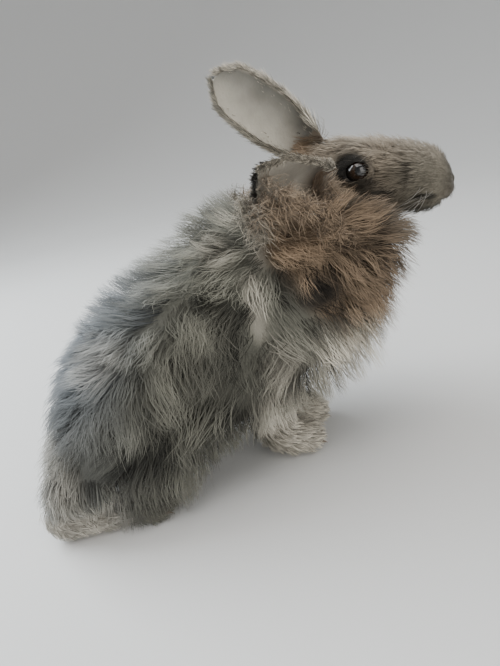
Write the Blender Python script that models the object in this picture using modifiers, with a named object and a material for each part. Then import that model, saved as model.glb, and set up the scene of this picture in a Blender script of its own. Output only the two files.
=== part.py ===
"""A young angora rabbit at life size, standing stretched up with its head raised and turned
a little to its right, one ear up and one laid back.

The animal faces +X and its right side is -Y. Lengths are in metres, +Z is up, and the origin
is under the middle of the model, on the level of its four soles.

The woolly body is one loft along the spine, from the rump to the base of the head, which is
then parted into torso, neck and hind legs. Its measures run out to the tips of the coat, and
what lies deeper is given by an inset from them. Locks of wool grow out of the core of the
coat and reach those tips.
"""
import math

import bmesh
import bpy
import numpy as np
from mathutils import Matrix, Vector, kdtree

MM = 0.001
GAP = 0.3 * MM
# Points of a surface nearer to each other than this are drawn apart, each by the second length
TOUCH = 0.005 * MM
DRAW_IN = 0.03 * MM
GOLDEN_ANGLE = math.pi * (3 - math.sqrt(5))

# Coat: depth of the core under the tips of the wool, and the size of one lock
CORE_INSET = 13 * MM
LOCK_LENGTH = 54 * MM
LOCK_WIDTH = 23 * MM
LOCK_THICKNESS = 6.5 * MM
# How deep a lock lies under the tips at its stops, from root to tip, and its widths there
LOCK_DEPTHS = (20, 10, 4, 0.5)
LOCK_WIDTHS = (0.75, 1, 0.7)
LOCK_SWING = 0.35
# Lowest level that the tips of the locks reach, in millimetres, at places along X
LOCK_FLOOR = ((-100, -30, -9, 13, 97, 130), (7, 9, 18, 40, 45, 67))
BODY_LOCKS = 146
# Share of the spine behind which wool hangs down, and the share in front of which none is set
RUMP_END = 0.12
HEAD_END = 0.93

# The spine, in millimetres, from the rump to the base of the head: middle of the section
# (x, y, z), tilt of the section from upright in degrees, half width, rise and drop
SPINE = [
    (-99, 1, 40, -40, 8, 8, 8),
    (-94, 1, 50, -32, 37, 34, 20),
    (-80, 1, 60, -15, 57, 48, 36),
    (-52, 1, 72, 8, 67, 47, 64),
    (-18, 0, 90, 20, 69, 51, 76),
    (20, -1, 102, 21, 66, 55, 77),
    (56, -2, 115, 26, 64, 61, 70),
    (86, -3, 130, 36, 62, 55, 64),
    (100, -4, 144, 46, 57, 37, 52),
    (119, -5, 156, 52, 42, 31, 34),
    (130, -6, 161, 55, 8, 6, 8),
]
BODY_RINGS = 21
BODY_SIDES = 18
UPPER_POWER = 2.3
LOWER_POWER = 3.2

# Thin cuts that part the body: the neck from the torso, and each hind leg from the torso
NECK_CUT_PLACE = (66, -3, 117)
NECK_CUT_TILT = 31
HIP_CUT_PLACE = (-95, 27, 96)
HIP_CUT_NORMAL = (0.40, 0.62, 0.68)

# Head: its middle lies between the eyes, and its own axes run forward, left and up
HEAD_PLACE = (129, -4, 165)
HEAD_YAW = -26
HEAD_PITCH = -6
HEAD_ROLL = -4
# Sections along the head's forward axis: place, middle height, half width, rise and drop
HEAD_SECTIONS = [
    (-39, -6, 5, 5, 5),
    (-36, -6, 14, 15, 14),
    (-26, -5, 20, 23, 23),
    (-10, -4, 22, 25, 27),
    (5, -3, 21, 23.5, 25),
    (19, -2, 17.5, 21.5, 21),
    (32, -2, 15, 19.5, 17),
    (43, -3, 13.5, 16.5, 13.5),
    (50, -6, 10.5, 11.5, 9),
    (53, -8, 4, 4, 4),
]
HEAD_POWER = 2.15
HEAD_RINGS = 17
HEAD_SIDES = 16

EYE_RADIUS = 7.6 * MM
EYE_FACETS = (14, 8)
EYE_PLACE = (1.0, 16.2, 5.0)
LID_OPENING = (6.8, 5.4)
# Rounded forms on the head, in its own axes: place, then radii; pairs lie on both sides
HEAD_PAIRS = [
    (EYE_PLACE, (9.8, 9.4, 9.2)),
    ((41, 6.5, -10), (10, 8, 7.5)),
]
HEAD_SINGLES = [
    ((36, 0, -15.5), (12, 8.5, 6)),
    ((49.5, 0, -5), (4, 5, 4.5)),
]
NOSTRIL_PLACE = (52.8, 3.4, -5)
NOSTRIL_RADII = (2.6, 1.0, 2.0)
# Line of the mouth: middle and radii of its arc, height at the front, fall at the corners
MOUTH = (30, 22, 13.5, -13, 3)
MOUTH_SPAN = 70

# Ears, in millimetres: root, tip, how far the middle bows, and the way the cup faces
EARS = {
    "ear_left": ((106, 5, 186), (57, 4, 235), (1, 0, 1), (0.05, -0.93, -0.20)),
    "ear_right": ((100, -23, 176), (60, -60, 188), (-4, -8, -4), (0.10, -0.75, -0.62)),
}
EAR_WIDTHS = [8, 11.5, 14.5, 15.5, 15, 13, 6]
EAR_THICKNESS = 2.4 * MM
EAR_CUP = 0.35
EAR_BASE_CURL = 0.5
EAR_RINGS = 11
EAR_COLUMNS = 7

# Legs, in millimetres: middles of the sections down the leg (x, y, z), half width, half depth
FORELEG = [
    (62, 17, 90, 15, 17),
    (56, 17, 72, 14, 16),
    (49, 17.5, 50, 12.5, 14),
    (45, 18, 34, 12, 13.5),
    (46, 18, 21, 12.5, 14),
    (54, 18, 13, 13.5, 13.5),
    (64, 18, 11, 14, 12),
    (72, 18, 8, 11, 8.5),
    (75, 18, 7, 5, 4.5),
]
FAR_FOREPAW_LEAD = 12
FAR_FOREPAW_INWARD = 8
HIND_FOOT = [
    (-105, 38, 9, 4, 5),
    (-101, 38.5, 11, 9, 10),
    (-91, 39, 11, 11, 12),
    (-75, 39.5, 9.5, 11.5, 10.5),
    (-55, 40, 8.5, 12, 9.5),
    (-42, 40.5, 7.5, 12, 8.5),
    (-32, 40.5, 5.5, 9, 6),
    (-28, 40.5, 5, 4, 3.5),
]
SHANK = [
    (-100, 38, 16, 6, 7),
    (-92, 38, 20, 10, 11),
    (-82, 39, 32, 14, 15),
    (-70, 40, 46, 19, 20),
    (-58, 40, 60, 20, 22),
    (-50, 39, 70, 10, 10),
]
TOE_RADII = (8.5, 4.6, 4.6)
TOE_SPREAD = (-0.72, -0.25, 0.25, 0.72)
LEG_SIDES = 12

# Tail, in millimetres: from its root outwards (x, y, z), half width and half height
TAIL = [
    (-60, 2, 46, 10, 9),
    (-71, 2, 46, 12, 11),
    (-80, 2, 49, 12.5, 11.5),
    (-86, 2, 54, 10.5, 10),
    (-89, 2, 60, 5, 5),
    (-90, 2, 63, 2, 2),
]
TAIL_CELL = (15, 14)
TAIL_LOCKS = 8
TAIL_LOCK = (20, 14, 4.5)
TAIL_LOCK_LIFT = 9

COLOURS = {
    "head": (0.30, 0.25, 0.18),
    "neck": (0.36, 0.26, 0.17),
    "torso": (0.24, 0.25, 0.25),
    "tail": (0.40, 0.40, 0.39),
    "ear": (0.46, 0.42, 0.36),
    "eye": (0.02, 0.015, 0.012),
    "foreleg": (0.66, 0.62, 0.55),
    "hindleg": (0.62, 0.61, 0.57),
}
WOOL_ROUGHNESS = 0.9
EYE_ROUGHNESS = 0.08


# Scene, objects and materials
def clear_scene():
    for obj in list(bpy.data.objects):
        bpy.data.objects.remove(obj, do_unlink=True)


def new_collection(name):
    collection = bpy.data.collections.new(name)
    bpy.context.scene.collection.children.link(collection)
    return collection


def new_object(name, vertices, faces, collection):
    mesh = bpy.data.meshes.new(name)
    mesh.from_pydata([tuple(v) for v in vertices], [], faces)
    mesh.validate()
    obj = bpy.data.objects.new(name, mesh)
    collection.objects.link(obj)
    return obj


def copy_object(source, name, collection):
    obj = source.copy()
    obj.data = source.data.copy()
    obj.name = name
    collection.objects.link(obj)
    return obj


def give_material(obj, kind):
    material = bpy.data.materials.get(kind) or bpy.data.materials.new(kind)
    material.use_nodes = True
    shader = material.node_tree.nodes["Principled BSDF"]
    shader.inputs["Base Color"].default_value = (*COLOURS[kind], 1)
    shader.inputs["Roughness"].default_value = EYE_ROUGHNESS if kind == "eye" else WOOL_ROUGHNESS
    shader.inputs["Metallic"].default_value = 0
    obj.data.materials.clear()
    obj.data.materials.append(material)


def apply_modifiers(obj):
    """Replace an object's mesh by what its modifiers make of it."""
    evaluated = obj.evaluated_get(bpy.context.evaluated_depsgraph_get())
    mesh = bpy.data.meshes.new_from_object(evaluated)
    old = obj.data
    obj.modifiers.clear()
    obj.data = mesh
    bpy.data.meshes.remove(old)


def boolean(obj, operation, other, solver="MANIFOLD"):
    """Join, cut or trim an object by another object or by a whole collection."""
    modifier = obj.modifiers.new(operation.lower(), "BOOLEAN")
    modifier.operation = operation
    modifier.solver = solver
    if isinstance(other, bpy.types.Collection):
        modifier.operand_type = "COLLECTION"
        modifier.collection = other
    else:
        modifier.object = other
    bpy.context.view_layer.update()
    apply_modifiers(obj)


def hide_cutter(obj):
    obj.hide_render = True
    obj.display_type = "WIRE"


def turn_shared_diagonals(bm):
    """Turn each diagonal that came to lie on an edge of other faces, so that no edge is shared."""
    for edge in [edge for edge in bm.edges if len(edge.link_faces) > 2]:
        faces = list(edge.link_faces)
        pairs = [(a, b) for i, a in enumerate(faces) for b in faces[i + 1:]]
        flat = max(pairs, key=lambda pair: pair[0].normal.dot(pair[1].normal))
        first, second = edge.verts
        loop = next(loop for loop in flat[0].loops if loop.edge == edge)
        start, end = loop.vert, loop.link_loop_next.vert
        far = [next(v for v in face.verts if v not in (first, second)) for face in flat]
        if bm.edges.get(far) or far[0] is far[1]:
            continue
        bmesh.ops.delete(bm, geom=list(flat), context="FACES_ONLY")
        bm.faces.new((far[0], start, far[1]))
        bm.faces.new((far[1], end, far[0]))
    bm.normal_update()


def draw_apart(bm):
    """Move vertices that lie on another part of the same surface a little way in from it."""
    bm.normal_update()
    bm.verts.index_update()
    tree = kdtree.KDTree(len(bm.verts))
    for vert in bm.verts:
        tree.insert(vert.co, vert.index)
    tree.balance()
    touching = []
    for vert in bm.verts:
        joined = {edge.other_vert(vert).index for edge in vert.link_edges}
        near = {index for _, index, _ in tree.find_range(vert.co, TOUCH)}
        if near - joined - {vert.index}:
            touching.append(vert)
    for vert in touching:
        vert.co -= vert.normal * DRAW_IN


def keep_largest(obj):
    """Make a mesh of triangles, and keep only its largest closed surface."""
    bm = bmesh.new()
    bm.from_mesh(obj.data)
    bmesh.ops.triangulate(bm, faces=bm.faces)
    turn_shared_diagonals(bm)
    seen = set()
    shells = []
    for start in bm.faces:
        if start in seen:
            continue
        seen.add(start)
        shell = [start]
        for face in shell:
            for edge in face.edges:
                for neighbour in edge.link_faces:
                    if neighbour not in seen:
                        seen.add(neighbour)
                        shell.append(neighbour)
        shells.append(shell)
    largest = max(shells, key=lambda shell: sum(face.calc_area() for face in shell))
    dropped = [face for shell in shells if shell is not largest for face in shell]
    bmesh.ops.delete(bm, geom=dropped, context="FACES")
    draw_apart(bm)
    bm.to_mesh(obj.data)
    bm.free()


# Surfaces that run along a row of sections
def smooth_rows(rows, places):
    """Read a table of rows at any place between its first row, 0, and its last, 1."""
    table = np.array(rows, float)
    ends = np.vstack([2 * table[0] - table[1], table, 2 * table[-1] - table[-2]])
    along = np.clip(np.asarray(places, float), 0, 1) * (len(table) - 1)
    index = np.minimum(along.astype(int), len(table) - 2)
    t = (along - index)[..., None]
    p0, p1, p2, p3 = (ends[index + step] for step in range(4))
    bend = (2 * p0 - 5 * p1 + 4 * p2 - p3) * t ** 2 + (3 * p1 - p0 - 3 * p2 + p3) * t ** 3
    return 0.5 * (2 * p1 + (p2 - p0) * t + bend)


def round_section(angle, upper=UPPER_POWER, lower=LOWER_POWER):
    """Sideways and upward share of a full, rounded section; the angle runs from the top."""
    power = np.where(np.cos(angle) < 0, lower, upper)
    side = np.sign(np.sin(angle)) * np.abs(np.sin(angle)) ** (2 / power)
    up = np.sign(np.cos(angle)) * np.abs(np.cos(angle)) ** (2 / power)
    return side, up


def section_points(rows, place, angle):
    """Points of the body's loft. The angle is 0 on the back and grows to the left."""
    x, y, z, tilt, width, rise, drop = np.moveaxis(smooth_rows(rows, place), -1, 0)
    side, up = round_section(angle)
    height = up * np.where(up > 0, rise, drop)
    lean = np.radians(tilt)
    point = np.stack([x - height * np.sin(lean), y + width * side, z + height * np.cos(lean)], -1)
    return point * MM


def body_tips(place, angle):
    return section_points(SPINE, place, angle)


def core_rows():
    """The spine's rows for the core: smaller by its inset, and ending short of both ends."""
    rows = np.array(SPINE[1:-1], float)
    rows[:, 4:] = np.maximum(rows[:, 4:] - CORE_INSET / MM, 5)
    rows[0] = rows[0] * 0.6 + rows[1] * 0.4
    rows[-1] = rows[-1] * 0.6 + rows[-2] * 0.4
    return rows


def body_normal(place, angle):
    step = 1e-3
    along = body_tips(place + step, angle) - body_tips(place - step, angle)
    around = body_tips(place, angle + step) - body_tips(place, angle - step)
    normal = np.cross(along, around)
    return normal / np.linalg.norm(normal, axis=-1, keepdims=True)


def closed_grid(name, grid, collection):
    """Close rings of points into a body, with a pole at the middle of each end ring."""
    rings, sides = grid.shape[:2]
    poles = [grid[0].mean(axis=0), grid[-1].mean(axis=0)]
    vertices = list(grid.reshape(-1, 3)) + poles
    first, last = len(vertices) - 2, len(vertices) - 1
    faces = []
    for i in range(sides):
        j = (i + 1) % sides
        for ring in range(rings - 1):
            a, b = ring * sides, (ring + 1) * sides
            faces.append((a + i, b + i, b + j, a + j))
        faces.append((first, i, j))
        faces.append((last, (rings - 1) * sides + j, (rings - 1) * sides + i))
    obj = new_object(name, vertices, faces, collection)
    face_outwards(obj)
    return obj


def face_outwards(obj):
    bm = bmesh.new()
    bm.from_mesh(obj.data)
    bmesh.ops.recalc_face_normals(bm, faces=bm.faces)
    bm.to_mesh(obj.data)
    bm.free()


def tube_along(name, rows, rings, sides, collection, grow=0.0):
    """Loft round sections across a path: rows of x, y, z, half width and half depth."""
    table = smooth_rows(rows, np.linspace(0, 1, rings))
    middles = table[:, :3]
    ahead = np.gradient(middles, axis=0)
    ahead /= np.linalg.norm(ahead, axis=1, keepdims=True)
    left = np.cross((0, 0, 1), ahead)
    weak = np.linalg.norm(left, axis=1) < 0.35
    left[weak] = (0, 1, 0)
    left -= ahead * np.sum(left * ahead, axis=1, keepdims=True)
    left *= np.sign(left[:, 1:2]) / np.linalg.norm(left, axis=1, keepdims=True)
    over = np.cross(ahead, left)
    angle = np.linspace(0, 2 * math.pi, sides, endpoint=False)
    across = left[:, None] * np.sin(angle)[None, :, None] * (table[:, 3, None, None] + grow)
    depth = over[:, None] * np.cos(angle)[None, :, None] * (table[:, 4, None, None] + grow)
    middles[0] -= ahead[0] * grow
    middles[-1] += ahead[-1] * grow
    return closed_grid(name, (middles[:, None] + across + depth) * MM, collection)


def ball(name, place, radii, collection, frame=None, segments=12, rings=7):
    """An ellipsoid, turned by a frame and set at a place in metres."""
    mesh = bpy.data.meshes.new(name)
    bm = bmesh.new()
    bmesh.ops.create_uvsphere(bm, u_segments=segments, v_segments=rings, radius=1)
    bmesh.ops.scale(bm, vec=Vector(radii), verts=bm.verts)
    matrix = frame.to_4x4() if frame else Matrix.Identity(4)
    matrix.translation = Vector(place)
    bm.transform(matrix)
    bm.to_mesh(mesh)
    bm.free()
    obj = bpy.data.objects.new(name, mesh)
    collection.objects.link(obj)
    return obj


def half_space(name, place, normal, collection, size=0.6):
    """A block that fills one side of a plane; the normal points out of the block."""
    away = Vector(normal).normalized()
    mesh = bpy.data.meshes.new(name)
    bm = bmesh.new()
    bmesh.ops.create_cube(bm, size=size)
    matrix = away.to_track_quat("Z", "Y").to_matrix().to_4x4()
    matrix.translation = Vector(place) - away * size / 2
    bm.transform(matrix)
    bm.to_mesh(mesh)
    bm.free()
    obj = bpy.data.objects.new(name, mesh)
    collection.objects.link(obj)
    hide_cutter(obj)
    return obj


# Locks of wool
def wool_lie(points, normals):
    """The way the wool lies: back along the spine, then down and a little back on the flanks.

    In front of the shoulders it spreads from behind the ears, forward and down the chest.
    """
    side = np.sign(points[:, 1:2])
    steep = np.clip(np.abs(normals[:, 1:2]) * 1.6, 0, 1)
    back = np.array([-1.0, 0, -0.1]) + side * np.array([0, 0.35, 0])
    down = np.array([-0.28, 0, -0.96]) + 0 * side
    lie = back * (1 - steep) + down * steep
    front = np.clip((points[:, 0:1] - 0.062) / 0.03, 0, 1)
    forward = np.array([0.55, 0, -0.8]) + side * np.array([0, 0.2, 0])
    lie = lie * (1 - front) + forward * front
    lie -= normals * np.sum(lie * normals, axis=1, keepdims=True)
    return lie / np.linalg.norm(lie, axis=1, keepdims=True)


def coat_paths(place, angle, lengths, swings):
    """Paths that lie along the wool: from a root in the core out to the tips of the coat.

    Each stop is a step further along the lie over the surface of the tips. Where that surface
    turns under the body, or ends at the rump, the wool hangs straight down instead.
    """
    place = np.array(place)
    angle = np.array(angle)
    hang = np.zeros((len(place), 3))
    path = []
    outs = []
    for depth in LOCK_DEPTHS:
        surface = body_tips(place, angle)
        normal = body_normal(place, angle)
        path.append(surface - normal * depth * MM + hang)
        outs.append(normal)
        lie = wool_lie(surface, normal)
        lie = lie + np.cross(normal, lie) * swings[:, None]
        under = np.clip((-normal[:, 2] - 0.35) / 0.3, 0, 1)
        under = np.maximum(under, np.clip((RUMP_END - place) / RUMP_END * 2, 0, 1))
        step = lengths / (len(LOCK_DEPTHS) - 1)
        hang += np.array([0, 0, -1.0]) * (under * step)[:, None]
        move = lie * (step * (1 - under))[:, None]
        small = 1e-3
        along = (body_tips(place + small, angle) - body_tips(place - small, angle)) / (2 * small)
        around = (body_tips(place, angle + small) - body_tips(place, angle - small)) / (2 * small)
        lengthways = np.sum(along * along, axis=1)
        sideways = np.sum(around * around, axis=1)
        mixed = np.sum(along * around, axis=1)
        ahead = np.sum(along * move, axis=1)
        aside = np.sum(around * move, axis=1)
        whole = lengthways * sideways - mixed ** 2
        place = np.clip(place + (ahead * sideways - aside * mixed) / whole, 0.03, 0.97)
        angle = angle + (aside * lengthways - ahead * mixed) / whole
    return np.stack(path, axis=1), np.stack(outs, axis=1)


def lock_body(name, path, outs, width, thickness, collection):
    """A flat, tapered lock: a ridged section carried along a bent path to a point."""
    ahead = np.gradient(path, axis=0)
    ahead /= np.linalg.norm(ahead, axis=1, keepdims=True)
    across = np.cross(ahead, outs)
    across /= np.linalg.norm(across, axis=1, keepdims=True)
    over = np.cross(across, ahead)
    rings = path[:-1]
    half_width = across[:-1] * width * np.array(LOCK_WIDTHS)[:, None] / 2
    ridge = over[:-1] * thickness * np.sqrt(LOCK_WIDTHS)[:, None]
    corners = np.stack([rings + half_width, rings + ridge, rings - half_width], axis=1)
    vertices = corners.reshape(-1, 3).tolist() + [path[-1].tolist()]
    faces = [(2, 1, 0)]
    for ring in range(len(rings) - 1):
        for i in range(3):
            j = (i + 1) % 3
            faces.append((ring * 3 + i, ring * 3 + j, ring * 3 + 3 + j, ring * 3 + 3 + i))
    last = 3 * (len(rings) - 1)
    faces += [(last + i, last + (i + 1) % 3, last + 3) for i in range(3)]
    obj = new_object(name, vertices, faces, collection)
    face_outwards(obj)
    return obj


def body_lock_places(count):
    """Even places over the loft: equal shares of its area, turned by the golden angle."""
    fine = np.linspace(0, 1, 400)
    row = smooth_rows(SPINE, fine)
    girth = row[:, 4] * 2 + row[:, 5] + row[:, 6]
    run = np.linalg.norm(np.gradient(row[:, :3], axis=0), axis=1)
    run += np.abs(np.gradient(girth)) / 4
    area = np.cumsum(girth * run)
    shares = (np.arange(count) + 0.5) / count * area[-1]
    place = np.interp(shares, area, fine)
    angle = np.arange(count) * GOLDEN_ANGLE
    return place, (angle + math.pi) % (2 * math.pi) - math.pi


def add_body_locks(collection):
    draw = np.random.default_rng(11)
    place, angle = body_lock_places(BODY_LOCKS)
    lengths = LOCK_LENGTH * draw.uniform(0.8, 1.2, BODY_LOCKS)
    swings = draw.uniform(-LOCK_SWING, LOCK_SWING, BODY_LOCKS)
    widths = LOCK_WIDTH * draw.uniform(0.8, 1.2, BODY_LOCKS)
    paths, outs = coat_paths(place, angle, lengths, swings)
    for i, path in enumerate(paths):
        floor = np.interp(path[-1, 0] / MM, *LOCK_FLOOR) * MM
        if path[0, 2] < floor + 8 * MM or place[i] > HEAD_END:
            continue
        share = (path[0, 2] - floor) / (path[0, 2] - path[:, 2].min() + 1e-9)
        path[:] = path[0] + (path - path[0]) * min(1, share)
        lock_body(f"lock_{i}", path, outs[i], widths[i], LOCK_THICKNESS, collection)


# Parts
def head_frame():
    turn = Matrix.Rotation(math.radians(HEAD_YAW), 3, "Z")
    turn = turn @ Matrix.Rotation(-math.radians(HEAD_PITCH), 3, "Y")
    return turn @ Matrix.Rotation(math.radians(HEAD_ROLL), 3, "X")


def head_point(x, y, z):
    """A place on the head, given in millimetres along its own axes, in the model's metres."""
    return Vector(HEAD_PLACE) * MM + head_frame() @ Vector((x, y, z)) * MM


def head_loft(name, collection, grow=0.0):
    table = smooth_rows(HEAD_SECTIONS, np.linspace(0, 1, HEAD_RINGS))
    angle = np.linspace(0, 2 * math.pi, HEAD_SIDES, endpoint=False)
    side, up = round_section(angle, HEAD_POWER, HEAD_POWER)
    place, middle, width, rise, drop = (column[:, None] for column in table.T)
    height = middle + up * (np.where(up > 0, rise, drop) + grow)
    ends = np.linspace(-1, 1, HEAD_RINGS)[:, None]
    local = np.stack([place + grow * ends ** 5 + 0 * up, side * (width + grow), height], -1)
    turn = np.array(head_frame())
    return closed_grid(name, np.array(HEAD_PLACE) * MM + local @ turn.T * MM, collection)


def add_toes(paw, rows):
    """Set the toes side by side across the front of a paw, each a small rounded form."""
    toes = new_collection("toes")
    x, y, z, width = rows[-3][:4]
    radii = [r * MM for r in TOE_RADII]
    for i, share in enumerate(TOE_SPREAD):
        place = Vector((x + 3 - 4 * share * share, y + share * width, z - 3)) * MM
        ball(f"toe_{i}", place, radii, toes, segments=8, rings=5)
    boolean(paw, "UNION", toes)
    empty_collection(toes)


def empty_collection(collection):
    for obj in list(collection.objects):
        bpy.data.objects.remove(obj, do_unlink=True)
    bpy.data.collections.remove(collection)


def make_body(parts):
    """The woolly body in one piece: the core of the coat, with its locks fused on."""
    places = np.linspace(0, 1, BODY_RINGS)[:, None] + np.zeros(BODY_SIDES)
    angles = np.linspace(0, 2 * math.pi, BODY_SIDES, endpoint=False) + np.zeros((BODY_RINGS, 1))
    body = closed_grid("body", section_points(core_rows(), places, angles), parts)
    locks = new_collection("locks")
    add_body_locks(locks)
    boolean(body, "UNION", locks)
    empty_collection(locks)
    return body


def neck_direction():
    lean = math.radians(NECK_CUT_TILT)
    return Vector((math.cos(lean), 0, math.sin(lean)))


def hip_cell(side, grow, cutters):
    """The wedge that a hind leg fills: outside the flank line and under the hip plane."""
    normal = Vector((HIP_CUT_NORMAL[0], HIP_CUT_NORMAL[1] * side, HIP_CUT_NORMAL[2])).normalized()
    place = Vector((HIP_CUT_PLACE[0], HIP_CUT_PLACE[1] * side, HIP_CUT_PLACE[2])) * MM
    cell = half_space("hip_plane", place + normal * grow, normal, cutters)
    outside = half_space("flank_plane", (0, place.y - side * grow, 0), (0, -side, 0), cutters)
    boolean(cell, "INTERSECT", outside)
    bpy.data.objects.remove(outside, do_unlink=True)
    return cell


def part_body(body, parts, cutters):
    """Part the whole body by thin cuts into torso, neck and the wool of each hind leg."""
    ahead = neck_direction()
    place = Vector(NECK_CUT_PLACE) * MM
    neck = copy_object(body, "neck", parts)
    boolean(neck, "DIFFERENCE", half_space("behind_neck", place + ahead * GAP / 2, ahead, cutters))
    boolean(body, "DIFFERENCE", half_space("before_torso", place - ahead * GAP / 2, -ahead, cutters))
    legs = []
    for name, side in (("hindleg_left", 1), ("hindleg_right", -1)):
        leg = copy_object(body, name, parts)
        boolean(leg, "INTERSECT", hip_cell(side, 0, cutters))
        boolean(body, "DIFFERENCE", hip_cell(side, GAP, cutters))
        legs.append(leg)
    body.name = "torso"
    return body, neck, legs


def foreleg_rows(side):
    """The near foreleg as measured; the far one steps a little ahead and in."""
    rows = []
    for i, (x, y, z, width, depth) in enumerate(FORELEG):
        share = min(1, i / 4)
        lead = FAR_FOREPAW_LEAD * share if side > 0 else 0
        inward = FAR_FOREPAW_INWARD * share if side > 0 else 0
        rows.append((x + lead, side * y - inward, z, width, depth))
    return rows


def make_foreleg(name, side, floor, parts, cutters):
    rows = foreleg_rows(side)
    leg = tube_along(name, rows, 13, LEG_SIDES, parts)
    hull = tube_along(name + "_socket", rows, 13, LEG_SIDES, cutters, GAP / MM)
    hide_cutter(hull)
    add_toes(leg, rows)
    boolean(leg, "DIFFERENCE", floor)
    return hull


def finish_hindleg(leg, side, floor, parts):
    """Add the shank, the long foot and its toes under the wool of the thigh."""
    foot_rows = [(x, side * y, z, w, d) for x, y, z, w, d in HIND_FOOT]
    shank_rows = [(x, side * y, z, w, d) for x, y, z, w, d in SHANK]
    foot = tube_along("foot", foot_rows, 13, LEG_SIDES, parts)
    shank = tube_along("shank", shank_rows, 9, LEG_SIDES, parts)
    add_toes(foot, foot_rows)
    for piece in (foot, shank):
        boolean(leg, "UNION", piece)
        bpy.data.objects.remove(piece, do_unlink=True)
    boolean(leg, "DIFFERENCE", floor)


def make_tail(parts):
    """The tail: a short upturned core with its own locks, kept inside a round cell."""
    tail = tube_along("tail", TAIL, 9, 10, parts)
    locks = new_collection("tail_locks")
    length, width, thickness = (value * MM for value in TAIL_LOCK)
    share = (np.arange(TAIL_LOCKS) + 0.5) / TAIL_LOCKS * 0.7
    table = smooth_rows(TAIL, share)
    ahead = smooth_rows(TAIL, share + 0.01) - table
    for i in range(TAIL_LOCKS):
        along = ahead[i, :3] / np.linalg.norm(ahead[i, :3])
        turn = i * GOLDEN_ANGLE
        out = np.array((0, 1, 0)) * math.sin(turn) + np.cross(along, (0, 1, 0)) * math.cos(turn)
        reach = np.linspace(0, 1, len(LOCK_DEPTHS))[:, None]
        lift = out * (table[i, 3] * 0.45 + TAIL_LOCK_LIFT * np.sin(reach * math.pi / 2)) * MM
        path = table[i, :3] * MM + along * length * reach + lift
        lock_body(f"tail_lock_{i}", path, np.tile(out, (len(path), 1)), width, thickness, locks)
    boolean(tail, "UNION", locks)
    empty_collection(locks)
    return tail


def tail_cell(grow, cutters):
    first, last = np.array(TAIL[0][:3]), np.array(TAIL[3][:3])
    away = last - first
    rows = [(*first, *TAIL_CELL), (*(first + away), *TAIL_CELL), (*(first + 3 * away), *TAIL_CELL)]
    cell = tube_along("tail_cell", rows, 3, 14, cutters, grow / MM)
    hide_cutter(cell)
    return cell


def make_ear(name, parts):
    """An ear: a cupped leaf along a bowed midrib, made a shell by Solidify."""
    root, tip, bow, facing = (np.array(v, float) for v in EARS[name])
    along = np.linspace(0, 1, EAR_RINGS)[:, None]
    middle = (root + tip) / 2 + bow
    axis = root * (1 - along) ** 2 + 2 * middle * along * (1 - along) + tip * along ** 2
    ahead = np.gradient(axis, axis=0)
    ahead /= np.linalg.norm(ahead, axis=1, keepdims=True)
    across = np.cross(facing, ahead)
    across /= np.linalg.norm(across, axis=1, keepdims=True)
    front = np.cross(ahead, across)
    width = smooth_rows([[w] for w in EAR_WIDTHS], along[:, 0])
    spread = np.linspace(-1, 1, EAR_COLUMNS)[None, :, None]
    curl = (EAR_CUP + EAR_BASE_CURL * (1 - along) ** 2) * width
    side_step = across[:, None] * (width[:, None] * np.sin(spread * 1.2) / math.sin(1.2))
    grid = (axis[:, None] + side_step + front[:, None] * curl[:, None] * spread ** 2) * MM
    rings, columns = grid.shape[:2]
    faces = []
    for i in range(rings - 1):
        for j in range(columns - 1):
            a, b = i * columns + j, (i + 1) * columns + j
            faces += [(a, a + 1, b + 1), (a, b + 1, b)]
    ear = new_object(name, grid.reshape(-1, 3), faces, parts)
    shell = ear.modifiers.new("thickness", "SOLIDIFY")
    shell.thickness = EAR_THICKNESS
    shell.offset = 0
    shell.use_even_offset = True
    apply_modifiers(ear)
    face_outwards(ear)
    return ear


def grown_copy(obj, name, amount, collection):
    """A copy whose surface lies a little further out all round, to cut a clear space."""
    grown = copy_object(obj, name, collection)
    bm = bmesh.new()
    bm.from_mesh(grown.data)
    bm.normal_update()
    steps = [vert.normal * amount for vert in bm.verts]
    for vert, step in zip(bm.verts, steps):
        vert.co += step
    bm.to_mesh(grown.data)
    bm.free()
    hide_cutter(grown)
    return grown


def make_head(parts):
    """The head: a loft with muzzle pads, chin, nose and lids, cut for eyes, mouth and nose."""
    head = head_loft("head", parts)
    frame = head_frame()
    forms = new_collection("head_forms")
    for side in (-1, 1):
        for place, radii in HEAD_PAIRS:
            x, y, z = place
            radii = [r * MM for r in radii]
            ball("form", head_point(x, side * y, z), radii, forms, frame)
    for place, radii in HEAD_SINGLES:
        ball("form", head_point(*place), [r * MM for r in radii], forms, frame)
    boolean(head, "UNION", forms)
    empty_collection(forms)
    cuts = new_collection("head_cuts")
    for side in (-1, 1):
        x, y, z = EYE_PLACE
        eye = head_point(x, side * y, z)
        ball("socket", eye, [EYE_RADIUS + GAP] * 3, cuts, frame, *EYE_FACETS)
        opening = tube_between("opening", head_point(x, side * (y + 3), z),
                               head_point(x + 1, side * (y + 20), z + 2), LID_OPENING, cuts)
        opening.hide_render = True
        x, y, z = NOSTRIL_PLACE
        ball("nostril", head_point(x, side * y, z), [r * MM for r in NOSTRIL_RADII], cuts, frame, 8, 6)
    mouth_rows = []
    for theta in np.radians(np.linspace(-MOUTH_SPAN, MOUTH_SPAN, 9)):
        place = head_point(MOUTH[0] + MOUTH[1] * math.cos(theta), MOUTH[2] * math.sin(theta),
                           MOUTH[3] - MOUTH[4] * math.sin(theta) ** 2)
        mouth_rows.append((*(place / MM), 2.6, 0.8))
    tube_along("mouth", mouth_rows, 13, 4, cuts)
    for cut in list(cuts.objects):
        boolean(head, "DIFFERENCE", cut)
    empty_collection(cuts)
    return head


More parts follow.
